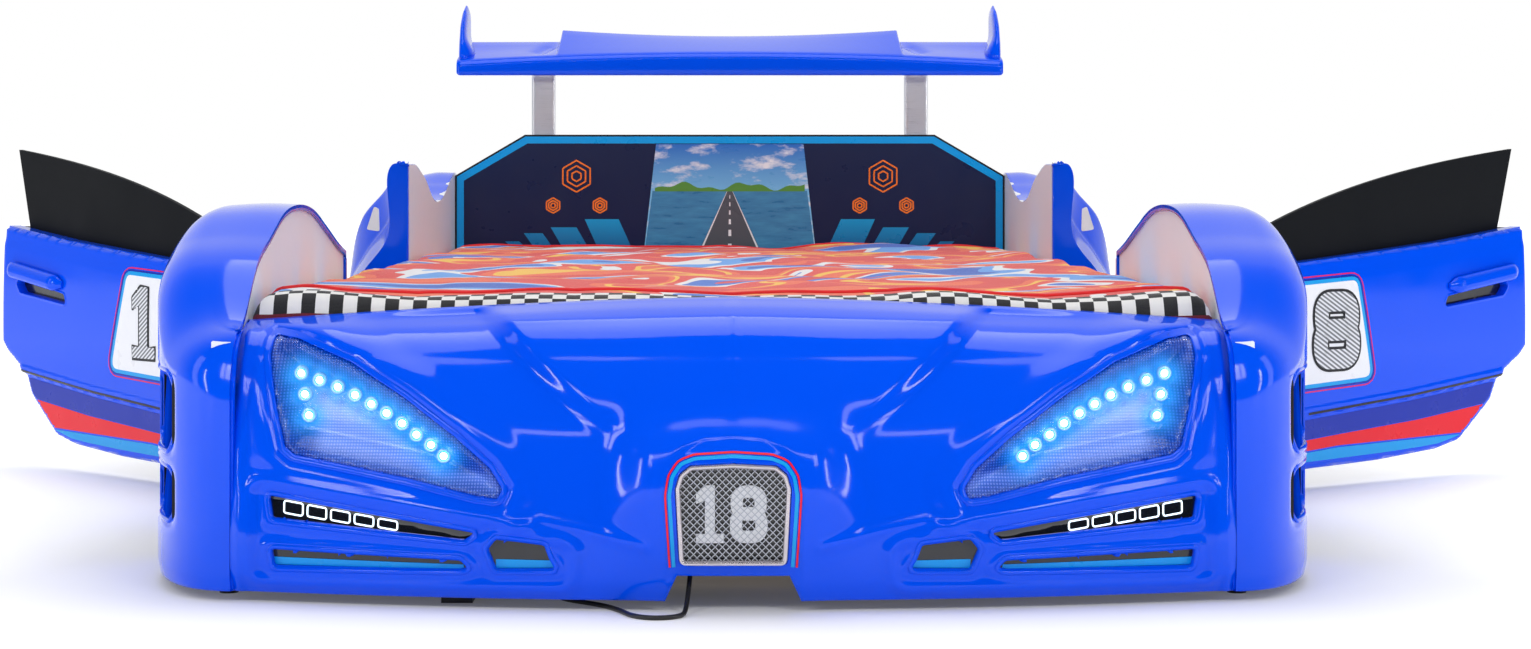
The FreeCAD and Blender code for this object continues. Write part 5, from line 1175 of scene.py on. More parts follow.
class CARBED_OT_grille(bpy.types.Operator):
    """Make the grille: silver frame, woven diagonal mesh and a plain number behind it"""
    bl_idname = "carbed.grille"
    bl_label = "Grille"
    FRONT = -1116.0

    def execute(self, context):
        ring = ring_grid(resampled(rounded(GRILLE, 7), 2.4),
                         [(-0.6, 14), (-0.6, 1.5), (-1.2, 0.4), (-2.4, 0.0), (-3.8, 0.5),
                          (-4.9, 2.0), (-5.0, 6), (-5.0, 14)])
        grid = facing(ring[..., 0], ring[..., 1], self.FRONT + ring[..., 2])
        build("grille_frame", [grid_part(grid, wrap_u=True)], ["grille_silver"],
              replaced=("grille_frame",), outward=True)
        inner = [(a * 0.94, 90 + (b - 90) * 0.93) for a, b in GRILLE]
        build("grille_back", [slab(rounded(inner, 5), self.FRONT + 13, 1.0)],
              ["panel_black"])
        self.number()
        self.mesh(inner)
        return {"FINISHED"}

    def number(self):
        """The plain number: its second loop stands a hair proud of the first."""
        y = self.FRONT + 9.0
        parts = [slab(numeral_one(-21, 64, 25, 52), y, 2)]
        for k, loop in enumerate(numeral_eight(14, 64, 34, 52, 11)):
            parts.append(ribbon(loop, 5.5, y=y - 0.4 * k, thick=2.0))
        build("grille_number", parts, ["print_white"])

    def mesh(self, outline):
        """Two families of fine flat wires at +-45 degrees that pass over and under each
        other: y swings as a cosine of the distance along the wire."""
        line = np.array(outline, float)
        parts = []
        pitch = 4.6
        for way, phase in ((1, 0.0), (-1, math.pi)):
            for offset in np.arange(-170, 171, pitch):
                t = np.linspace(-110, 110, 111)
                x = t * 0.7071 - offset * 0.7071 * way
                z = 90 + way * t * 0.7071 + offset * 0.7071
                gap = outline_gap(line, x, z)[0]
                inside = np.nonzero(gap < 0.5)[0]
                if len(inside) < 3:
                    continue
                x, z, t = x[inside], z[inside], t[inside]
                swing = 0.55 * np.cos(np.pi * (t + offset) / pitch + phase)
                y = self.FRONT + 4.6 + swing
                across = np.array([-1, 0, 1]) * 0.42
                rise = np.array([0.3, -0.25, 0.3])
                grid = np.stack([x[:, None] - way * across * 0.7071,
                                 y[:, None] + rise, z[:, None] + across * 0.7071], -1)
                parts.append(grid_part(grid, flip=way > 0))
        build("grille_mesh", parts, ["print_silver"],
              replaced=("grille_mesh",), weld=0.0)


# ---------------------------------------------------------------- fenders

HUMP = [(-1042, 224), (-1030, 236), (-1020, 240), (-974, 253), (-901, 305), (-822, 331),
        (-740, 354), (-650, 361), (-554, 355), (-453, 334), (-363, 313), (-275, 297)]
LAP = 4.8
FENDER_INNER = 466.7
FENDER_FRONT, FENDER_REAR = -1042.0, -304.0
CORNER = (110.0, 250.0)
SCOOPS = ([(-979, 134), (-862, 134), (-862, 209), (-979, 209)],
          [(-979, 68), (-862, 68), (-862, 117), (-979, 117)])
ARCH = (-650.0, 155.0, 165.0)


def fender_plan():
    """The fender seen from above, by distance along it: a quarter ellipse from the seam,
    then straight back. Returns distance, x, y and the outward direction."""
    turn = np.linspace(math.asin(1.7 / CORNER[0]), math.pi / 2, 240)
    x = BODY_HALF - CORNER[0] + CORNER[0] * np.sin(turn)
    y = FENDER_FRONT + CORNER[1] - CORNER[1] * np.cos(turn)
    straight = np.arange(FENDER_FRONT + CORNER[1] + 2, FENDER_REAR + 1, 2.0)
    x = np.concatenate([x, np.full(len(straight), BODY_HALF)])
    y = np.concatenate([y, straight])
    run = np.concatenate([[0], np.cumsum(np.hypot(np.diff(x), np.diff(y)))])
    out_x = np.gradient(y, run)
    out_y = -np.gradient(x, run)
    scale = np.hypot(out_x, out_y)
    return run, x, y, out_x / scale, out_y / scale


def fender_top(y):
    """Height of the fender's top, a lap above the side board's hump."""
    return along_line(HUMP, y) + LAP


def scoop_hollow(y, z):
    """How far the wall falls in towards each scoop: deepest at the scoop's front edge and
    fading out in front of it."""
    sink = np.zeros(np.broadcast(y, z).shape)
    for shape in SCOOPS:
        low, high = shape[0][1], shape[2][1]
        middle = (low + high) / 2
        half = (high - low) / 2 + 10
        beside = np.clip(1 - np.abs(z - middle) / half, 0, 1)
        ahead = smooth_step((y + 1004) / 30) * (y < -862)
        behind = 1 - smooth_step((y + 862) / 4)
        sink += 9 * smooth_step(beside * 1.6) * ahead * behind
    return sink


class CARBED_OT_fenders(bpy.types.Operator):
    """Make the two front fenders with their wheel arches and scoops"""
    bl_idname = "carbed.fenders"
    bl_label = "Front Fenders"

    def execute(self, context):
        run, *plan = fender_plan()
        # x, y and the outward direction at distances along the plan
        lookup = lambda s: [np.interp(s, run, table) for table in plan]
        s = np.linspace(0, run[-1], 262)
        radius = sizes().fender_round / MM
        px, py, nx, ny = (table[:, None] for table in lookup(s))
        crown = fender_top(py)
        # the wall, by height; its openings are cut in (distance along, height)
        rise = np.linspace(0, 1, 78)[None, :]
        wall_s = np.repeat(s[:, None], 78, 1)
        wall_z = SKIRT + (crown - radius - SKIRT) * rise
        along = lambda y: float(np.interp(y, plan[1], run))
        holes = [rounded([(along(y), z) for y, z in shape], 9) for shape in SCOOPS]
        arch_s = along(ARCH[0])
        arch = circle(arch_s, ARCH[1], ARCH[2])
        cut_s, cut_z, keep = cut_out(wall_s, wall_z, holes + [arch], 1.9)
        x, y, ox, oy = lookup(cut_s)
        sink = scoop_hollow(y, cut_z) + 3.0 * smooth_step((26 - cut_z) / 22)
        flare = 2.6 * ridge(np.hypot(cut_s - arch_s, cut_z - ARCH[1]) - ARCH[2] - 7, 6)
        push = np.minimum(flare - sink, 0.0)
        wall = np.stack([x + ox * push, y + oy * push, cut_z], -1)
        # the rounding and the top, by angle and then by share of the way to the seam
        turn = np.linspace(0, math.pi / 2, 14)[None, :]
        inward = radius * (1 - np.cos(turn))
        round_y = py - ny * inward
        soft = np.stack([np.maximum(px - nx * inward, FENDER_INNER), round_y,
                         fender_top(round_y) - radius + radius * np.sin(turn)], -1)
        share = np.linspace(0, 1, 12)[None, :]
        edge_x = np.maximum(px - nx * radius, FENDER_INNER)
        top_y = py - ny * radius + 0 * share
        top = np.stack([edge_x + (FENDER_INNER - edge_x) * share, top_y,
                        fender_top(top_y) + 1.5 * np.sin(np.pi * share)], -1)
        hem = top[:, -1:] - np.array([0, 0, 1.0]) * np.linspace(0, 6, 3)[None, :, None]
        # the rear wall, down from the same curve
        across = np.linspace(BODY_HALF, FENDER_INNER, 40)
        inside = np.minimum(BODY_HALF - across, radius)
        high = (fender_top(np.array(FENDER_REAR)) - radius
                + np.sqrt(np.maximum(0, radius ** 2 - (radius - inside) ** 2)))
        down = np.linspace(0, 1, 24)[None, :]
        rear = np.stack([np.repeat(across[:, None], 24, 1), np.full((40, 24), FENDER_REAR),
                         high[:, None] + (SKIRT - high[:, None]) * down], -1)
        lip = np.concatenate([wall[0], soft[0, 1:]])[:, None] + TURN_IN
        for name, side in SIDES:
            mirror = np.array([side, 1, 1])
            flip = side == RIGHT
            parts = [grid_part(wall * mirror, keep=keep, flip=not flip),
                     grid_part(lip * mirror, flip=flip),
                     grid_part(soft * mirror, flip=not flip),
                     grid_part(top * mirror, flip=not flip),
                     grid_part(hem * mirror, flip=not flip),
                     grid_part(rear * mirror, flip=flip)]
            obj = build(f"fender_{name}", parts, ["shell_blue"],
                        replaced=(f"front_fender_{name}",), angle=60, weld=0.05)
            thicken(obj, sizes().shell_skin)
            rims = [self.rim(outline, self.SCOOP_RIM, lookup, side) for outline in holes]
            rims.append(self.rim(arch, self.ARCH_RIM, lookup, side))
            build(f"fender_rims_{name}", rims, ["shell_blue"], angle=60)
        self.blades()
        return {"FINISHED"}

    SCOOP_RIM = [(4.0, 0.4), (2.6, -1.2), (0.8, -1.9), (-0.6, -1.0), (-1.2, 2), (-1.2, 12)]
    ARCH_RIM = [(5.0, 0.3), (2.0, -0.1), (0.2, 0.1), (-0.5, 1.5), (-0.6, 10)]

    @staticmethod
    def rim(outline, profile, lookup, side):
        """A bead round an opening of the wall, carried over its curved plan."""
        ring = ring_grid(resampled(outline, 3.0), profile)
        z = np.maximum(ring[..., 1], SKIRT)
        x, y, ox, oy = lookup(ring[..., 0])
        depth = np.maximum(ring[..., 2] + scoop_hollow(y, z) * 0.85, 0.05)
        return grid_part(np.stack([(x - ox * depth) * side, y - oy * depth, z], -1),
                         wrap_u=True, flip=side == RIGHT)

    def blades(self):
        """Two slanting blades in each scoop."""
        parts = []
        for side in (RIGHT, LEFT):
            for shape in SCOOPS:
                low, high = shape[0][1], shape[2][1]
                for y in (-940, -905):
                    x0 = BODY_HALF - CORNER[0] + CORNER[0] * math.sqrt(
                        1 - ((y - FENDER_FRONT - CORNER[1]) / CORNER[1]) ** 2)
                    t = np.linspace(0, 1, 12)[:, None]
                    w = np.linspace(0, 2 * math.pi, 12, endpoint=False)[None, :]
                    grid = np.stack([side * (x0 - 17 + 9 * np.cos(w) * (1 - 0.2 * t)),
                                     y + 10 * t - 5 + 2.0 * np.sin(w) - 8 * np.cos(w),
                                     low + 1 + (high - low - 2) * t + 0 * w], -1)
                    parts.append(grid_part(grid, wrap_v=True, flip=side == LEFT))
        build("scoop_blades", parts, ["shell_blue"], outward=True)


# ---------------------------------------------------------------- rear quarters

QUARTER = [
    (342, [(494.5, 0), (502, -107), (538, -158), (562, -199)]),
    (425, [(495.5, 0), (510, -80), (545, -131), (570, -181)]),
    (486, [(498, 0), (530, -36), (558, -70), (574, -132)]),
    (700, [(505, 0), (540, -4), (562, -28), (575, -75)]),
    (900, [(505, 0), (540, -12), (563, -45), (575, -105)]),
    (1000, [(505, 0), (540, -12), (563, -48), (575, -115)]),
    (1110, [(500, -4), (530, -16), (552, -45), (566, -105)]),
]
REAR_EDGE = [(342, 417), (425, 417), (508, 404), (566, 392), (639, 369), (725, 360), (812, 370),
             (879, 387), (980, 408), (1045, 392), (1110, 345)]
REAR_ARCH = (700.0, 155.0, 165.0)
BAY_HALF = 470.0


def quarter_section(y, share):
    """(x, z) of the quarter's section at y, by share of the way from the board's edge
    outward and down: straight lines between the stations' points, smoothed along the
    section by a cubic through them."""
    stations = np.array([k for k, _ in QUARTER], float)
    xs = np.array([[BAY_HALF] + [p[0] for p in row] for _, row in QUARTER], float)
    drops = np.array([[0] + [p[1] for p in row] for _, row in QUARTER], float)
    top = along_line(REAR_EDGE, np.clip(y, 342, 1110))
    px = np.stack([np.interp(y, stations, xs[:, k]) for k in range(5)])
    pz = np.stack([top + np.interp(y, stations, drops[:, k]) for k in range(5)])
    widest = px[-1]
    px = np.concatenate([px, [np.minimum(widest + 8, 575), widest - 6]])
    pz = np.concatenate([pz, [np.full(len(y), 110.0), np.full(len(y), SKIRT)]])
    step = np.hypot(np.diff(px, axis=0), np.diff(pz, axis=0))
    knots = np.concatenate([np.zeros((1, len(y))), np.cumsum(step, 0)])
    total = knots[-1]
    rows = share[None, :] * total[:, None]
    x, z = np.empty(rows.shape), np.empty(rows.shape)
    for column in range(len(share)):
        x[:, column] = hermite(knots, px, rows[:, column])
        z[:, column] = hermite(knots, pz, rows[:, column])
    return np.clip(x, BAY_HALF, BODY_HALF), z


class CARBED_OT_quarters(bpy.types.Operator):
    """Make the two rear quarters, with a painted highlight on each pillar"""
    bl_idname = "carbed.quarters"
    bl_label = "Rear Quarters"

    def execute(self, context):
        y = np.concatenate([[342, 343.5], np.linspace(347, 1106, 190), [1109, 1110]])
        share = np.linspace(0, 1, 96)
        x, z = quarter_section(y, share)
        along = np.repeat(y[:, None], len(share), 1)
        z = np.maximum(z, SKIRT)
        hub_y, hub_z, radius = REAR_ARCH
        along, z, keep = cut_out(along, z, [circle(hub_y, hub_z, radius)], 1.9)
        keep &= ~((z[:-1, :-1] < SKIRT + 2)
                  & (np.hypot(along[:-1, :-1] - hub_y, z[:-1, :-1] - hub_z) < radius))
        flare = 2.4 * ridge(np.hypot(along - hub_y, z - hub_z) - (radius + 7), 6) * (x > 540)
        x = np.minimum(x + flare, BODY_HALF)
        grid = np.stack([x, along, z], -1)
        for name, side in SIDES:
            mirror = np.array([side, 1, 1])
            flip = side == LEFT
            parts = [grid_part(grid * mirror, keep=keep, flip=not flip)]
            for row, turned in ((0, True), (-1, False)):
                rim_line = grid[row]
                inner = np.stack([np.full(len(share), BAY_HALF + 1.0), rim_line[:, 1],
                                  np.maximum(rim_line[:, 2], SKIRT)], -1)
                t = np.linspace(0, 1, 14)[None, :, None]
                wall = rim_line[:, None] + (inner - rim_line)[:, None] * t
                parts.append(grid_part(wall * mirror, flip=flip != turned))
            obj = build(f"quarter_{name}", parts, ["shell_blue"],
                        replaced=(f"rear_quarter_{name}",), angle=50)
            thicken(obj, sizes().shell_skin)
            self.patch(name, side)
        return {"FINISHED"}

    def patch(self, name, side):
        """A white three-cornered patch on the pillar's front: a painted highlight where the pillar
        catches the light.
        """
        outline = rounded([(513, 319), (532, 322), (521, 356), (514, 352)], 3)
        line = outline if side == RIGHT else outline * np.array([-1, 1])
        # Painted highlight: a white slab where the pillar's front catches the light.
        parts = [slab(rounded(line, 1), 340.9, 1.0)]
        build(f"pillar_highlight_{name}", parts, ["print_white"])


# ---------------------------------------------------------------- rear bumper and lights

TAIL_FORM = [(998.3, 336), (1050, 330), (1088, 305), (1106, 260), (1110, 200), (1110, 40),
             (1104, 10)]
TAIL_LIGHT = [(300, 215), (440, 215), (440, 262), (320, 262)]


def tail_skin(z):
    """Y of the rear bumper's upright face at a height."""
    return along_line([(p[1], p[0]) for p in TAIL_FORM[::-1]], z)


class CARBED_OT_rear_bumper(bpy.types.Operator):
    """Make the rear bumper with its recessed band and tail lights"""
    bl_idname = "carbed.rear_bumper"
    bl_label = "Rear Bumper"

    def execute(self, context):
        line = np.array(TAIL_FORM, float)
        run = np.concatenate([[0], np.cumsum(np.hypot(*np.diff(line, axis=0).T))])
        at = np.linspace(0, run[-1], 110)
        table = lambda k: hermite(np.repeat(run[:, None], 110, 1),
                                  np.repeat(line[:, k:k + 1], 110, 1), at)
        form_y, form_z = table(0), table(1)
        x = np.linspace(-469.4, 469.4, 240)
        across, z = np.meshgrid(x, form_z, indexing="ij")
        y = np.repeat(form_y[None, :], len(x), 0)
        outlines = [mirror_outline(rounded(TAIL_LIGHT, 7), side) for side in (RIGHT, LEFT)]
        cut_x, cut_z, keep = cut_out(across, z, outlines, 2.1)
        band = smooth_step((cut_z - 58) / 8) * (1 - smooth_step((cut_z - 118) / 8)) * (
            1 - smooth_step((np.abs(cut_x) - 250) / 10))
        y = y - 5 * band - 2.5 * smooth_step((np.abs(cut_x) - 462) / 7.4)
        grid = np.stack([cut_x, np.minimum(y, 1110), cut_z], -1)
        shell = build("rear_bumper_shell", [grid_part(grid, keep=keep)],
                      ["shell_blue"],
                      replaced=("rear_bumper",), angle=50)
        thicken(shell, sizes().shell_skin)
        rims, lights = [], []
        outline = rounded(TAIL_LIGHT, 7)
        u, v, inside = fill_in(outline, 3.0)
        ring = ring_grid(resampled(outline, 3.0),
                         [(4, 0.3), (2.2, 0.9), (0.4, 0.6), (-0.8, -2), (-0.8, -9)])
        ring_y = np.minimum(tail_skin(ring[..., 1]) + ring[..., 2], 1111)
        for side in (RIGHT, LEFT):
            rims.append(grid_part(facing(ring[..., 0], ring[..., 1], ring_y, side), wrap_u=True,
                                  flip=side == RIGHT))
            lights.append(grid_part(facing(u, v, tail_skin(v) - 2.0, side), keep=inside,
                                    flip=side == RIGHT))
        build("tail_light_rims", rims, ["shell_blue"])
        self.red_lens()
        lenses = build("tail_light_lenses", lights, ["ribbed_red"],
                       replaced=("tail_lights",))
        thicken(lenses, 0.0025)
        return {"FINISHED"}

    def red_lens(self):
        """Ribbed red lens: a wave across it bends the gloss and paints shade into the grooves."""
        recipe = Recipe("ribbed_red")
        rib_and_groove_shade = recipe.waves(recipe.spot(), "X", 48.0)
        # Painted shade: the grooves are darker red.
        recipe.tint(rib_and_groove_shade, (0.30, 0.0, 0.004), (0.85, 0.01, 0.015))
        recipe.gloss(rib_and_groove_shade, 0.18, 0.08, 0.0, 1.0)
        recipe.into("Emission Color", (0.9, 0.0, 0.01))
        recipe.into("Emission Strength", 0.12)
        recipe.into("Coat Weight", 0.6)
        recipe.bump(rib_and_groove_shade, 0.4, 0.001)


# ---------------------------------------------------------------- wing

WING_HALF = 466.0


def wing_section(x):
    """Corner points of the wing's section at x, as (y, z), with the radius of each."""
    side = np.abs(x)
    share = side / WING_HALF
    front_top = 574 + 40 - 14 * share ** 2
    middle = 574 + 76 + 11 * (np.minimum(side, 292) / 292) ** 2
    step = smooth_step((side - 293) / 6)
    rear_top = middle * (1 - step) + 640 * step
    zero = np.zeros_like(x)
    return [(zero + 965, zero + 574, 3), (zero + 1005, zero + 574, 8),
            (zero + 1112, zero + 612, 5), (zero + 1112, rear_top, 7),
            (zero + 1050, (front_top + rear_top) / 2 + 3 - 3 * step, 40),
            (zero + 973, front_top, 9), (zero + 965, front_top - 8, 5)]
def bend(t, before, corner, after, a, b):
    """A point of the arc at a corner: (1-t)^2 P + 2t(1-t) C + t^2 Q, where P and Q lie the
    shares a and b of the way to the corners before and after it."""
    return ((1 - t) ** 2 * (corner + (before - corner) * a) + 2 * t * (1 - t) * corner
            + t ** 2 * (corner + (after - corner) * b))

class CARBED_OT_wing(bpy.types.Operator):
    """Make the rear wing, its winglets and the brushed posts"""
    bl_idname = "carbed.wing"
    bl_label = "Rear Wing"

    def execute(self, context):
        half = np.concatenate([np.linspace(0, 286, 60), np.linspace(288, 304, 12),
                               np.linspace(308, 455, 34), [459, 462.5, 465, 466]])
        x = np.concatenate([-half[:0:-1], half])
        corners = wing_section(x)
        count = len(corners)
        ring = []
        for k in range(count):
            ya, za, _ = corners[k - 1]
            y, z, radius = corners[k]
            yb, zb, _ = corners[(k + 1) % count]
            run_a, run_b = np.hypot(ya - y, za - z), np.hypot(yb - y, zb - z)
            a = np.minimum(radius, 0.45 * run_a) / run_a
            b = np.minimum(radius, 0.45 * run_b) / run_b
            ring += [np.stack([x, bend(t, ya, y, yb, a, b), bend(t, za, z, zb, a, b)], -1)
                     for t in np.linspace(0, 1, 6)]
        grid = np.stack(ring, 1)
        middle = grid.mean(1, keepdims=True)
        draw = np.clip((np.abs(x) - 461) / 5, 0, 1)[:, None, None]
        grid = grid + (middle - grid) * draw ** 2 * np.array([0, 0.05, 0.12])
        grooves = self.grooves(grid)
        caps = []
        for row, turned in ((0, False), (-1, True)):
            rim_line = grooves[row]
            centre = rim_line.mean(0)
            t = np.linspace(0, 1, 5)[:, None, None]
            caps.append(grid_part(rim_line[None] + (centre - rim_line)[None] * t, wrap_v=True,
                                  flip=turned))
        build("wing_plank", [grid_part(grooves, wrap_v=True)] + caps, ["shell_blue"],
              replaced=("spoiler_wing",), angle=38, outward=True)
        parts = [self.winglet(side) for side in (RIGHT, LEFT)]
        build("winglets", parts, ["shell_blue"], angle=60, outward=True)
        self.posts()
        return {"FINISHED"}

    @staticmethod
    def grooves(grid):
        """Two shallow scooped grooves on the top, either side of the raised centre."""
        side = np.abs(grid[..., 0])
        on_top = smooth_step((grid[..., 1] - 985) / 12) * (grid[..., 2] > 606)
        gap = np.abs(side - (300 + (1112 - grid[..., 1]) * 0.30))
        sunk = 5.0 * np.exp(-(gap / 13) ** 2) * on_top * smooth_step((1104 - grid[..., 1]) / 30)
        moved = grid.copy()
        moved[..., 2] -= sunk
        return moved

    @staticmethod
    def winglet(side):
        """An upright end plate: its side view swept across a lens-shaped thickness, with a
        wide fillet where it meets the wing's top."""
        outline = resampled(rounded([(976, 596), (988, 630), (1009, 664), (1036, 690),
                                     (1066, 700), (1110, 694), (1110, 606), (1040, 594)], 14),
                            4.0)
        centre = np.array([1060.0, 640.0])
        share = np.concatenate([np.linspace(0, 0.9, 10), [0.95, 0.985, 1.0]])[None, :]
        flat = centre + (outline[:, None] - centre) * share[..., None]
        thin = np.sqrt(np.clip(1 - share ** 6, 0, 1))
        foot = smooth_step((660 - flat[..., 1]) / 50)
        outer = 459.5 + 6.2 * thin - 2 * smooth_step((flat[..., 1] - 660) / 40)
        inner = 459.5 - 6.2 * thin - 15 * foot ** 2 * thin
        out_grid = np.stack([outer * side, flat[..., 0], flat[..., 1]], -1)
        in_grid = np.stack([inner * side, flat[..., 0], flat[..., 1]], -1)
        grid = np.concatenate([out_grid, in_grid[:, ::-1]], 1)
        return grid_part(grid, wrap_u=True, flip=side == LEFT)

    def posts(self):
        """Square tubes with rounded corners, shut at both ends."""
        for name, side in SIDES:
            low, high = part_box(f"spoiler_post_{name}")
            x, half = side * 320.0, 20.0
            y0 = low[1] / MM
            y1 = y0 + 20.0
            outline = resampled(rounded([(x - half, y0), (x + half, y0), (x + half, y1),
                                         (x - half, y1)], 4), 2.0)
            z = np.array([low[2] / MM, 300, 420, 540, high[2] / MM])
            grid = np.stack([np.repeat(outline[None, :, 0], 5, 0),
                             np.repeat(outline[None, :, 1], 5, 0),
                             np.repeat(z[:, None], len(outline), 1)], -1)
            centre = grid.mean(1, keepdims=True)
            shut = [grid_part(np.concatenate([grid[k:k + 1], centre[k:k + 1] + 0
                                              * grid[k:k + 1]]), wrap_v=True) for k in (0, -1)]
            build(f"wing_post_{name}", [grid_part(grid, wrap_v=True)] + shut,
                  ["brushed_steel"],
                  replaced=(f"spoiler_post_{name}",), outward=True, angle=35)


# ---------------------------------------------------------------- doors

HINGE = (564.0, -290.0)
DOOR_OPEN = {RIGHT: math.radians(55.5), LEFT: math.radians(45.4)}
DOOR_DEPTH = 30.0
DOOR = [(6.5, 30), (190, 28), (330, 32), (442, 40), (485, 49), (548, 99), (568, 139),
        (600, 158), (612, 170), (612, 331), (459, 313), (312, 300), (168, 288), (6.5, 283)]
BAND_LINE = [(-10, 74), (190, 96), (380, 111), (564, 131), (640, 143)]
FINGER_SLOT = [(444, 227), (450, 241), (566, 259), (572, 252), (562, 240)]
BAND_DEPTH = 8.0
FILM_LIFT = 0.5
PRINT_MARGIN = 8
NUMBER_PLATE = {RIGHT: [(303, 142), (277, 266), (42, 254), (68, 130)],
                LEFT: [(333, 148), (297, 271), (62, 259), (98, 136)]}


def hung(along, z, out, side):
    """Points of the open door: distance from the pin, height and x of the closed door,
    turned about the pin."""
    angle = -side * DOOR_OPEN[side]
    x = side * (np.asarray(out, float) - HINGE[0])
    y = np.asarray(along, float)
    c, s = math.cos(angle), math.sin(angle)
    return np.stack([side * HINGE[0] + c * x - s * y, HINGE[1] + s * x + c * y,
                     np.broadcast_to(z, x.shape)], -1)


def door_face(along, z):
    """x of the closed door's outer face: gently crowned, stepped in under the band line,
    rounded at its edge."""
    line_z = np.interp(along, [p[0] for p in BAND_LINE], [p[1] for p in BAND_LINE])
    under = smooth_step((line_z - z) / 5 + 0.5)
    out = 575 - BAND_DEPTH * under - 2.6 * ((z - 200) / 110) ** 2 * (1 - under)
    out = out + 0.9 * ridge(z - line_z - 7, 4)
    top_z = np.interp(along, [6.5, 168, 312, 459, 612], [283, 288, 300, 313, 331])
    out = out - 2.0 * smooth_step((z - top_z + 28) / 15)
    edge = -outline_gap(DOOR, along, z)[0]
    edge = np.clip(edge, 0, 7)
    return out - (7 - np.sqrt(np.maximum(49 - (7 - edge) ** 2, 0)))


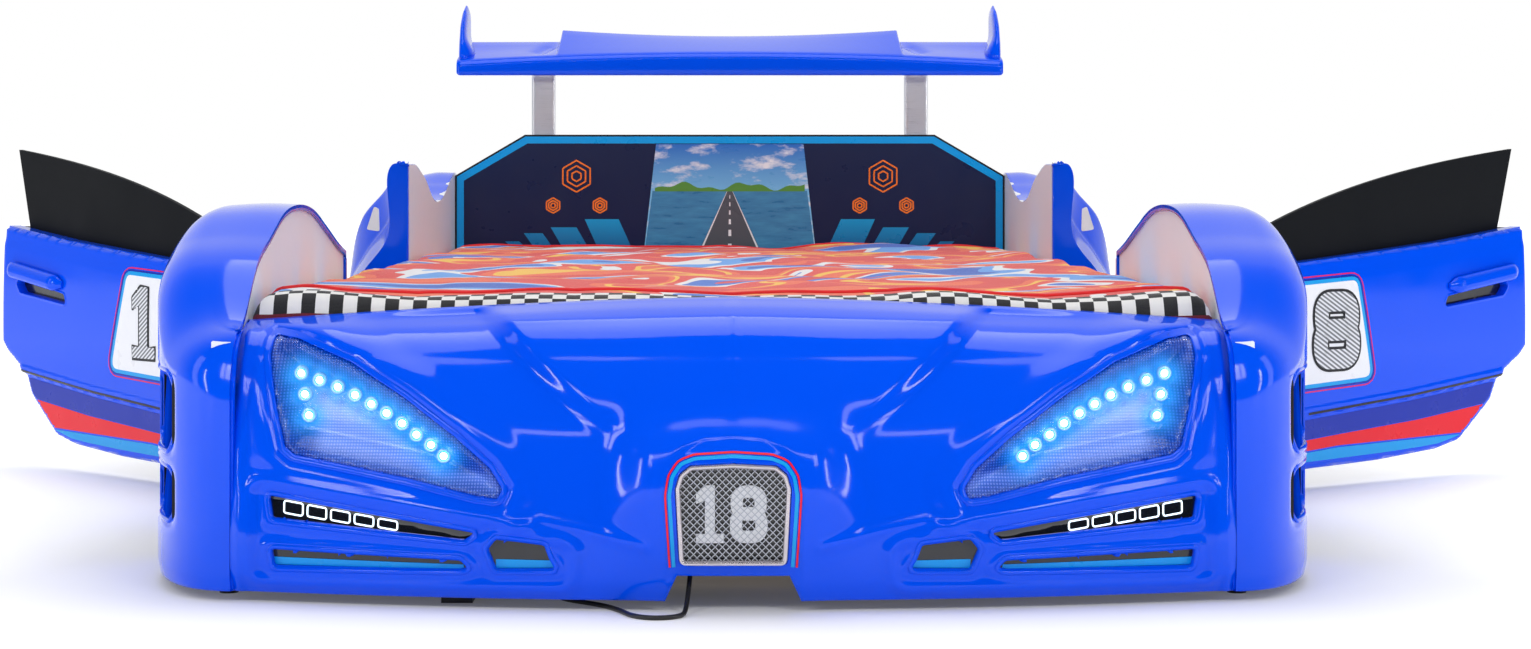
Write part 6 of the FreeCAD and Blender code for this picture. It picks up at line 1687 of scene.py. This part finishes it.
class CARBED_OT_doors(bpy.types.Operator):
    """Make the two swinging doors with their printed bands, number plates and grips"""
    bl_idname = "carbed.doors"
    bl_label = "Doors"

    def execute(self, context):
        self.hatching()
        for name, side in SIDES:
            self.skin(name, side)
            self.prints(name, side)
            self.grip(name, side)
        return {"FINISHED"}

    def skin(self, name, side):
        """The moulded skin: face, turned-in edge and the finger slot's pocket, and a black plate
        at the pocket's back that paints the shade in it.
        """
        u, v, keep = fill_in(DOOR, 3.2)
        slot_line = rounded(FINGER_SLOT, 5)
        u, v, open_keep = cut_out(u, v, [slot_line], 1.7)
        flip = side == LEFT
        parts = [grid_part(hung(u, v, door_face(u, v), side), keep=keep & open_keep, flip=flip)]
        line = resampled(DOOR, 4.0)
        inner = BODY_HALF - DOOR_DEPTH + 0.3
        start = door_face(line[:, 0], line[:, 1])[:, None]
        out = start + (inner - start) * np.linspace(0, 1, 7)[None, :]
        parts.append(grid_part(hung(np.repeat(line[:, :1], 7, 1), np.repeat(line[:, 1:], 7, 1),
                                    out, side), wrap_u=True,
                               flip=(signed_area(line) > 0) != flip))
        edge = resampled(slot_line, 2.5)
        a, z, lift = np.moveaxis(ring_grid(edge, [(3.6, -0.2), (2.0, 0.9), (0.4, 0.8),
                                                  (-0.5, -1.0), (-0.6, -12.5)]), -1, 0)
        parts.append(grid_part(hung(a, z, door_face(a, z) + lift, side), wrap_u=True,
                               flip=(signed_area(edge) < 0) != flip))
        build(f"door_shell_{name}", parts, ["shell_blue"], body=f"door_{name}",
              replaced=(f"door_skin_{name}",), angle=45)
        # Painted shade: a black plate at the back of the pocket under the pull.
        u, v, keep = fill_in(slot_line, 3.0)
        build(f"finger_slot_shade_{name}",
              [grid_part(hung(u, v, np.full(u.shape, 563.0), side), keep=keep, flip=flip)],
              ["trim_black"], body=f"door_{name}")

    def prints(self, name, side):
        """Printed films: bands under the crease line, and the bordered number plate."""
        bound = resampled(DOOR, 6.0)
        bound = bound - normals_of(bound) * PRINT_MARGIN
        below = [(a, z - 5.5) for a, z in BAND_LINE]
        regions = (
            (below + [(575, 114), (537, 97), (400, 82), (250, 71), (0, 51)], "print_navy"),
            ([(0, 50), (250, 70), (400, 81), (537, 96), (575, 112), (560, 70), (490, 60),
              (400, 58.5), (250, 56), (0, 38)], "print_red"),
            ([(0, 36), (250, 53.5), (400, 56), (480, 57.5), (500, 52), (440, 47),
              (330, 42), (190, 38), (0, 30)], "print_cyan"),
        )
        parts, inks = [], []
        for outline, ink in regions:
            u, v, keep = fill_in(outline, 3.6, bound)
            parts.append(self.film(u, v, keep, FILM_LIFT, side, len(inks)))
            inks.append(ink)
        line = [(a, z + 1.2) for a, z in BAND_LINE[1:4]]
        stroke = [(a, z + 3.4) for a, z in line] + line[::-1]
        u, v, keep = fill_in(resampled(stroke, 3.0), 1.5)
        parts.append(self.film(u, v, keep, 0.4, side, len(inks)))
        inks.append("print_black")
        plate = np.array(NUMBER_PLATE[side], float)
        if signed_area(plate) < 0:
            plate = plate[::-1]
        edge = resampled(rounded(plate, 10), 4.0)
        u, v, keep = fill_in(edge, 3.2, bound)
        parts.append(self.film(u, v, keep, FILM_LIFT, side, len(inks)))
        inks.append("print_white")
        for low, high, ink in ((0, 5, "print_cyan"), (5.4, 7.2, "print_navy"),
                               (8.6, 10.4, "print_magenta")):
            ring = ring_grid(edge, [(low, 0), ((low + high) / 2, 0), (high, 0)])
            parts.append(self.loop(ring[..., 0], ring[..., 1], FILM_LIFT, side, len(inks),
                                   side == RIGHT))
            inks.append(ink)
        parts += self.digits(plate, side, len(inks))
        inks += ["print_black", "hatched"]
        build(f"door_prints_{name}", parts, inks, body=f"door_{name}")

    @staticmethod
    def film(u, v, keep, lift, side, slot):
        """A patch of printed film, a lift off the door's face."""
        return grid_part(hung(u, v, door_face(u, v) + lift, side), keep=keep,
                         flip=side == LEFT, slot=slot)

    @staticmethod
    def loop(u, v, lift, side, slot, flip):
        """A closed band of printed film, a lift off the door's face."""
        return grid_part(hung(u, v, door_face(u, v) + lift, side), wrap_u=True, flip=flip,
                         slot=slot)

    def digits(self, plate, side, slot):
        """The figures one and eight: a black shape with a hatched one over it."""
        one_at, eight_at = (142, 238) if side == RIGHT else (256, 160)
        low = plate[:, 1].min() + 24
        parts = []
        for grow, lift, tone in ((3.4, 1.0, 0), (0.0, 1.5, 1)):
            one = np.array(numeral_one(0, 0, 52, 92), float)
            one = one + normals_of(one) * grow
            outline = np.stack([one_at + side * one[:, 0], one[:, 1] + low + 4], -1)
            u, v, keep = fill_in(resampled(outline, 3.0), 2.4)
            parts.append(self.film(u, v, keep, lift, side, slot + tone))
            for loop in numeral_eight(0, 0, 84, 98, 25):
                half = 12.5 + grow
                flat = ring_grid(loop, [(-half, 0), (-half / 3, 0), (half / 3, 0), (half, 0)])
                along, z = eight_at + side * flat[..., 0], flat[..., 1] + low
                area = signed_area(np.stack([along[:, 0], z[:, 0]], -1))
                parts.append(self.loop(along, z, lift, side, slot + tone,
                                       (area > 0) == (side == RIGHT)))
        return parts

    @staticmethod
    def hatching():
        """Fine slanting grey lines on white."""
        recipe = Recipe("hatched")
        slant = recipe.scaled(recipe.spot(), (1.0, 1.0, 1.0), (math.radians(45), 0, 0))
        lines = recipe.waves(slant, "Z", 78.0)
        recipe.tint(recipe.remap(lines, 0.35, 0.65, 0.0, 1.0), (0.16, 0.17, 0.19),
                    (0.78, 0.79, 0.82))
        recipe.gloss(lines, 0.28, 0.36, 0.0, 1.0)

    def grip(self, name, side):
        """The pull over the slot: a rounded bar whose section is an oval, bowed outwards."""
        t = np.linspace(0, 1, 44)[:, None]
        w = np.linspace(0, 2 * math.pi, 20, endpoint=False)[None, :]
        along = 452 + 138 * t
        middle = 254 + 19.5 * t
        tall = 10.5 * np.clip(np.sin(np.pi * np.clip(t, 0.015, 0.985)) * 3.2, 0, 1) ** 0.5
        reach = 13.2 * np.clip(np.sin(np.pi * np.clip(t, 0.01, 0.99)) * 2.6, 0, 1) ** 0.6
        out = 575.2 + reach * np.clip(np.cos(w) * 0.62 + 0.40, 0.0, 1)
        z = middle + tall * np.sin(w) - 2.0 * np.cos(w) * tall / 10.5
        grid = hung(along + 0 * w, z, out, side)
        ends = []
        for row in (0, -1):
            centre = grid[row].mean(0)
            ends.append(grid_part(np.stack([grid[row], np.broadcast_to(centre, grid[row].shape)]),
                                  wrap_v=True))
        build(f"door_pull_{name}", [grid_part(grid, wrap_v=True)] + ends,
              ["shell_blue"], body=f"door_{name}",
              replaced=(f"door_grip_{name}",), outward=True, angle=50)

# ---------------------------------------------------------------- bedding

def soft_waves(x, y, seed, scale, count=18, lean=0.0):
    """Folds: a sum of sines in scattered directions over coordinates that are themselves
    bent by slower sines; every phase comes from one seeded source."""
    source = np.random.default_rng(seed)
    bend_x = x + 60 * np.sin(y / 190 + source.uniform(0, 6)) + 25 * np.sin(x / 90 + y / 140)
    bend_y = y + 70 * np.sin(x / 170 + source.uniform(0, 6))
    total = np.zeros(x.shape)
    for _ in range(count):
        angle = source.normal(lean, 0.75)
        wave = scale * source.uniform(0.6, 1.7)
        phase = source.uniform(0, 2 * math.pi)
        run = bend_x * math.cos(angle) + bend_y * math.sin(angle)
        total += np.sin(run * 2 * math.pi / wave + phase) * (wave / scale) ** 0.8
    return total / math.sqrt(count)


class CARBED_OT_bedding(bpy.types.Operator):
    """Make the mattress and the rumpled quilt with checked edges"""
    bl_idname = "carbed.bedding"
    bl_label = "Mattress and Quilt"

    def execute(self, context):
        self.mattress()
        self.quilt()
        return {"FINISHED"}

    def mattress(self):
        """A crowned pad: a rounded rectangle's outline carried up a bulging side between two
        piping beads, its top and bottom drawn in to the middle."""
        low, high = [np.array(c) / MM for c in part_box("mattress")]
        outline = resampled(rounded([(low[0] + 1, low[1] + 1), (high[0] - 1, low[1] + 1),
                                     (high[0] - 1, high[1] - 1), (low[0] + 1, high[1] - 1)],
                                    46, 8), 14.0)
        tall = high[2] - low[2]
        turn = np.linspace(-math.pi / 2, math.pi / 2, 15)
        side = [(-7 + 6 * math.cos(a), (tall / 2 - 8) * math.sin(a)) for a in turn]
        bead = lambda z: [(-6 + 4 * math.cos(a), z + 4 * math.sin(a))
                          for a in np.linspace(-1.9, 1.9, 9)]
        profile = bead(-tall / 2 + 4.5) + side[2:-2] + bead(tall / 2 - 4.5)
        ring = ring_grid(outline, profile)
        middle_z = (low[2] + high[2]) / 2
        rows = [ring]
        centre = outline.mean(0)
        for index, sign in ((-1, 1), (0, -1)):
            edge = ring[:, index]
            share = np.linspace(0, 1, 16)[None, :, None]
            flat = edge[:, None, :2] + (centre - edge[:, None, :2]) * share
            lift = edge[:, None, 2:] + sign * (tall / 2 - 0.6 - np.abs(edge[:, None, 2:])
                                               ) * smooth_step(share * 7)
            rows.append(np.concatenate([flat, lift], -1))
        parts = []
        for grid in rows:
            shaped = grid.copy()
            shaped[..., 2] = np.clip(shaped[..., 2] + middle_z, low[2] + 0.3, high[2] - 0.2)
            parts.append(grid_part(shaped, wrap_u=True))
        pad = build("mattress_pad", parts, ["mattress_cloth"], replaced=("mattress",),
                    outward=True, angle=60)

    def quilt(self):
        """A light quilt: a height over the bed that swells between its folds, with edges
        that roll down all round. "place" keeps the distance over the cloth."""
        low, high = [np.array(c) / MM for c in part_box("quilt")]
        fold = sizes().quilt_fold / MM
        across = np.linspace(0, 1, 190)
        along = np.linspace(0, 1, 340)
        edge = lambda t: (t - 0.5) * 2
        u, v = np.meshgrid(edge(across), edge(along), indexing="ij")
        half_x, half_y = (high[0] - low[0]) / 2 - 1.2, (high[1] - low[1]) / 2 - 1.5
        roll = 20.0
        reach_x, reach_y = half_x - roll, half_y - roll

        def rolled(t, reach):
            """Distance over the cloth to place and fall, round a quarter of an ellipse."""
            over = np.clip((np.abs(t) * (reach + 30) - reach) / 30, 0, 1)
            place = np.minimum(np.abs(t) * (reach + 30), reach) + roll * np.sin(
                over * math.pi / 2)
            return np.sign(t) * place, 1 - np.cos(over * math.pi / 2)

        x, fall_x = rolled(u, reach_x)
        y, fall_y = rolled(v, reach_y)
        y = y + (high[1] + low[1]) / 2
        waves = soft_waves(x, y, 7, 230.0, lean=0.4)
        small = soft_waves(x, y, 11, 75.0, 14, lean=1.1)
        rumple = (np.exp(-((x - 300) / 150) ** 2 - ((y - 860) / 110) ** 2)
                  + 0.8 * np.exp(-((x + 400) / 120) ** 2 - ((y + 860) / 90) ** 2)
                  + 0.5 * np.exp(-((x + 120) / 240) ** 2 - ((y - 300) / 260) ** 2))
        puff = 1.6 * np.abs(np.sin(np.pi * x / 156)) ** 0.5 * np.abs(
            np.sin(np.pi * (y + 938) / 174)) ** 0.5
        top = high[2] - 5.5 + fold * 0.55 * waves + 0.8 * small * (0.4 + 2.4 * rumple) + puff
        top = top + 3.5 * rumple
        front = np.exp(-np.maximum(y + 930, 0) / 60)
        top = top - 5.5 * front * (1 - smooth_step((np.abs(x) - 230) / 140))
        drop = np.maximum(fall_x, fall_y)
        foot = low[2] + 0.8
        z = np.minimum(top, high[2] + 9) * (1 - drop) + (foot + 3) * drop
        z = np.maximum(z, foot + 1.2)
        grid = np.stack([x, y, z], -1)
        under = grid.copy()
        under[..., 2] = foot
        rim = np.concatenate([grid[:, 0], grid[-1, 1:], grid[-2::-1, -1], grid[0, -2:0:-1]])
        lower = rim * np.array([1, 1, 0]) + np.array([0, 0, foot])
        wall = np.stack([rim, lower], 1)
        cloth_x = u * (reach_x + 30)
        cloth_y = v * (reach_y + 30)
        place = np.stack([cloth_x, cloth_y, np.zeros(u.shape)], -1)
        rim_place = np.concatenate([place[:, 0], place[-1, 1:], place[-2::-1, -1],
                                    place[0, -2:0:-1]])
        places = np.concatenate([place.reshape(-1, 3), place[::4, ::4].reshape(-1, 3),
                                 np.stack([rim_place, rim_place], 1).reshape(-1, 3)]) * MM
        parts = [grid_part(grid), grid_part(under[::4, ::4], flip=True),
                 grid_part(wall, wrap_u=True, flip=True)]
        self.quilt_finish()
        quilt = build("quilt_cover", parts, ["quilt_cloth"], replaced=("quilt",),
                      places=places, weld=0.0, angle=75)
        self.piping(grid)

    def piping(self, grid):
        """A red cord sewn along the inner edge of each checked border."""
        parts = []
        w = np.linspace(0, 2 * math.pi, 8, endpoint=False)[None, :]
        for row in (13, grid.shape[1] - 14):
            line = grid[2:-2, row]
            ring = np.stack([line[:, :1] + 0 * w, line[:, 1:2] + 2.2 * np.cos(w),
                             line[:, 2:] + 0.7 + 2.2 * np.sin(w)], -1)
            parts.append(grid_part(ring, wrap_v=True))
        plastic("piping_red", (0.72, 0.008, 0.012), 0.7, spread=0.12, relief=0.4, grain=1600.0)
        build("quilt_piping", parts, ["piping_red"], outward=True)

    def quilt_finish(self):
        """Printed cotton: flowing bands of red, blue, yellow and white over the middle, rows
        of black and white checks along both ends, dark line at the hem, fine weave."""
        recipe = Recipe("quilt_cloth")
        place = recipe.place()
        x, y, _ = recipe.axes(place)
        half, check, rows = 0.969, 0.0135, 4
        depth = recipe.math("SUBTRACT", half, recipe.math("ABSOLUTE", y))
        across, along = (recipe.math("FLOOR", recipe.math("DIVIDE", axis, check))
                         for axis in (x, depth))
        odd = recipe.math("FLOORED_MODULO", recipe.math("ADD", across, along), 2.0)
        checks = recipe.mix(odd, (0.006, 0.006, 0.008), (0.80, 0.79, 0.77))
        warp = recipe.node("TexNoise", place)
        warp.inputs["Scale"].default_value = 2.6
        warp.inputs["Detail"].default_value = 2.0
        push = recipe.node("VectorMath", warp.outputs["Color"], (0.75, 0.75, 0.0),
                           operation="MULTIPLY").outputs[0]
        bent = recipe.node("VectorMath", place, push, operation="ADD").outputs[0]
        flow = recipe.noise(recipe.scaled(bent, (1.0, 2.3, 1.0), (0, 0, math.radians(24))),
                            2.6, 1.0, 0.4)
        bands = ((0.0, (0.012, 0.10, 0.52)), (0.36, (0.10, 0.34, 0.80)),
                 (0.40, (0.80, 0.80, 0.82)), (0.425, (0.74, 0.03, 0.02)),
                 (0.50, (0.86, 0.12, 0.03)), (0.535, (0.92, 0.52, 0.04)),
                 (0.555, (0.78, 0.04, 0.025)), (0.61, (0.82, 0.80, 0.80)),
                 (0.635, (0.02, 0.15, 0.62)), (0.70, (0.72, 0.03, 0.02)))
        worn = recipe.noise(place, 900.0, 2.0)
        middle = recipe.mix(recipe.math("MULTIPLY", worn, 0.10),
                            recipe.ramp(flow, bands, "CONSTANT"), (0.75, 0.72, 0.70))
        edged = recipe.mix(recipe.math("LESS_THAN", depth, rows * check), middle, checks)
        recipe.tint(recipe.math("LESS_THAN", depth, check), edged, (0.16, 0.004, 0.02))
        recipe.gloss(worn, 0.72, 0.88)
        recipe.into("Sheen Weight", 0.2)
        crinkle = recipe.math("MULTIPLY", recipe.noise(place, 45.0, 5.0, 0.6), 2.5)
        recipe.bump(recipe.math("ADD", recipe.crossed(place, "XY", 420.0), crinkle), 0.35,
                    0.0014)


# ---------------------------------------------------------------- headboard print

class CARBED_OT_headboard_print(bpy.types.Operator):
    """Make the printed face of the headboard: a landscape between two dark panels"""
    bl_idname = "carbed.headboard_print"
    bl_label = "Headboard Print"

    def execute(self, context):
        half, shoulder, top, chamfer, low = 469.5, 403.0, 473.0, 350.0, 262.0
        edge = [(-half, low), (half, low), (half, shoulder), (chamfer, top), (-chamfer, top),
                (-half, shoulder)]
        def inset(points, amount):
            line = np.array(points, float)
            return line - corner_way(line) * amount

        plates = [(edge, 0.35, 0), (inset(edge, 3.2), 0.55, 1), (inset(edge, 15.0), 0.75, 2)]
        inks = ["print_black", "print_cyan", "print_deep"]
        parts = [slab(outline, 980 - lift, 0.3, slot) for outline, lift, slot in plates]
        scene_low, scene_high, scene_half = 262.5, 457.0, 148.0
        view = [(-scene_half, scene_low), (scene_half, scene_low),
                (scene_half - 22, scene_high), (-scene_half + 22, scene_high)]
        parts.append(slab(view, 979.0, 0.3, 3))
        horizon = 376.0
        hills = [(-128, horizon)] + [(x, horizon + 9 + 5 * math.sin(x / 17) + 3 * math.sin(x / 7))
                                     for x in np.linspace(-128, 128, 40)] + [(128, horizon)]
        parts.append(slab(hills, 978.75, 0.3, 4))
        meadow = [(-scene_half + 1, scene_low), (scene_half - 1, scene_low),
                  (132, horizon + 1), (-132, horizon + 1)]
        parts.append(slab(meadow, 978.85, 0.2, 5))
        road = [(-58, scene_low), (58, scene_low), (5, horizon), (-5, horizon)]
        parts.append(slab(road, 978.6, 0.2, 6))
        for k in range(6):
            a, b = (k / 6) ** 0.62, ((k + 0.5) / 6) ** 0.62
            za, zb = (scene_low + (horizon - scene_low) * t for t in (a, b))
            wa, wb = (3.4 * (1 - t) + 0.3 for t in (a, b))
            parts.append(slab([(-wa, za), (wa, za), (wb, zb), (-wb, zb)], 978.4, 0.15, 7))
        for way in (RIGHT, LEFT):
            line = [(53 * way, scene_low), (57 * way, scene_low), (5.0 * way, horizon),
                    (4.4 * way, horizon)]
            parts.append(slab(line, 978.4, 0.15, 7))
            parts += self.side_panel(way)
        inks += ["sky", "print_green", "meadow", "print_road", "print_white", "print_orange",
                 "stripe_blend"]
        self.inks()
        build("headboard_print", parts, inks)
        return {"FINISHED"}

    def side_panel(self, way):
        """Slanting cyan bars at the panel's foot, and nested orange six-sided outlines."""
        parts = []
        for x0, wide, tall in ((160, 58, 66), (232, 44, 52), (290, 32, 42), (330, 24, 28)):
            bar = [(x0, 262.6), (x0 + wide, 262.6), (x0 + wide + 30, 262.6 + tall),
                   (x0 + 30, 262.6 + tall)]
            parts.append(slab([(x * way, z) for x, z in bar], 979.0, 0.3, 9))
        for x, z, size in ((262, 402, 27), (222, 352, 13), (302, 352, 13)):
            for ring in (1.0, 0.66, 0.33):
                turn = np.arange(6) * math.pi / 3 + math.pi / 6
                loop = np.stack([way * x + size * ring * np.cos(turn),
                                 z + size * ring * np.sin(turn)], -1)
                parts.append(ribbon(resampled(loop, 2.5), 1.3, y=978.9, thick=0.3, slot=8))
        return parts

    @staticmethod
    def inks():
        """Sky: blue that pales downwards with noise clouds. Meadow: two greens in streaks.
        Blend: cyan that deepens towards the foot."""
        sky = Recipe("sky")
        where = sky.spot()
        deep = sky.mix(sky.remap(sky.axes(where)[2], 0.37, 0.46, 0.0, 1.0),
                       (0.20, 0.55, 0.86), (0.01, 0.14, 0.55))
        cloud = sky.noise(sky.scaled(where, (1.0, 1.0, 2.6)), 17.0, 6.0, 0.62)
        sky.tint(sky.remap(cloud, 0.52, 0.68, 0.0, 0.95), deep, (0.86, 0.88, 0.92))
        sky.gloss(cloud, 0.26, 0.34)
        meadow = Recipe("meadow")
        streak = meadow.noise(meadow.scaled(meadow.spot(), (1.0, 1.0, 6.0)), 26.0, 5.0, 0.6)
        meadow.tint(streak, (0.01, 0.10, 0.30), (0.08, 0.38, 0.62))
        meadow.gloss(streak, 0.26, 0.34)
        blend = Recipe("stripe_blend")
        where = blend.spot()
        blend.tint(blend.remap(blend.axes(where)[2], 0.262, 0.36, 0.0, 1.0),
                   (0.0, 0.07, 0.26), (0.0, 0.46, 0.86))
        blend.gloss(blend.noise(where, 40.0), 0.26, 0.34)


def corner_way(line):
    """At each corner of a closed outline, the way that moves both its sides outward by 1."""
    turn = 1 if signed_area(line) > 0 else -1
    normals = []
    for way in (line - np.roll(line, 1, 0), np.roll(line, -1, 0) - line):
        normal = np.stack([way[:, 1], -way[:, 0]], -1) * turn
        normals.append(normal / np.hypot(*normal.T)[:, None])
    before, after = normals
    return (before + after) / (1 + (before * after).sum(1))[:, None]


# ---------------------------------------------------------------- panel and making order

MAKING_ORDER = (CARBED_OT_finishes, CARBED_OT_stage, CARBED_OT_lead, CARBED_OT_front_bumper,
                CARBED_OT_headlights, CARBED_OT_slots, CARBED_OT_grille,
                CARBED_OT_fenders, CARBED_OT_quarters, CARBED_OT_rear_bumper, CARBED_OT_wing,
                CARBED_OT_doors, CARBED_OT_bedding, CARBED_OT_headboard_print)


class CARBED_PT_making(bpy.types.Panel):
    """The bed's pieces, in the order in which they are made"""
    bl_idname = "CARBED_PT_making"
    bl_label = "Children's Car Bed"
    bl_space_type = "VIEW_3D"
    bl_region_type = "UI"
    bl_category = "Car Bed"

    def draw(self, context):
        column = self.layout.column()
        for operator in MAKING_ORDER:
            column.operator(operator.bl_idname)


CLASSES = (BedSizes, BedColours, StageSettings) + MAKING_ORDER + (CARBED_PT_making,)


def register():
    for made in CLASSES:
        bpy.utils.register_class(made)
    bpy.types.Scene.bed_sizes = PointerProperty(type=BedSizes)
    bpy.types.Scene.bed_colours = PointerProperty(type=BedColours)
    bpy.types.Scene.bed_stage = PointerProperty(type=StageSettings)


def unregister():
    del bpy.types.Scene.bed_stage, bpy.types.Scene.bed_colours, bpy.types.Scene.bed_sizes
    for made in reversed(CLASSES):
        bpy.utils.unregister_class(made)


def main():
    register()
    for operator in MAKING_ORDER:
        getattr(bpy.ops.carbed, operator.bl_idname.split(".")[1])()


if __name__ == "__main__":
    main()
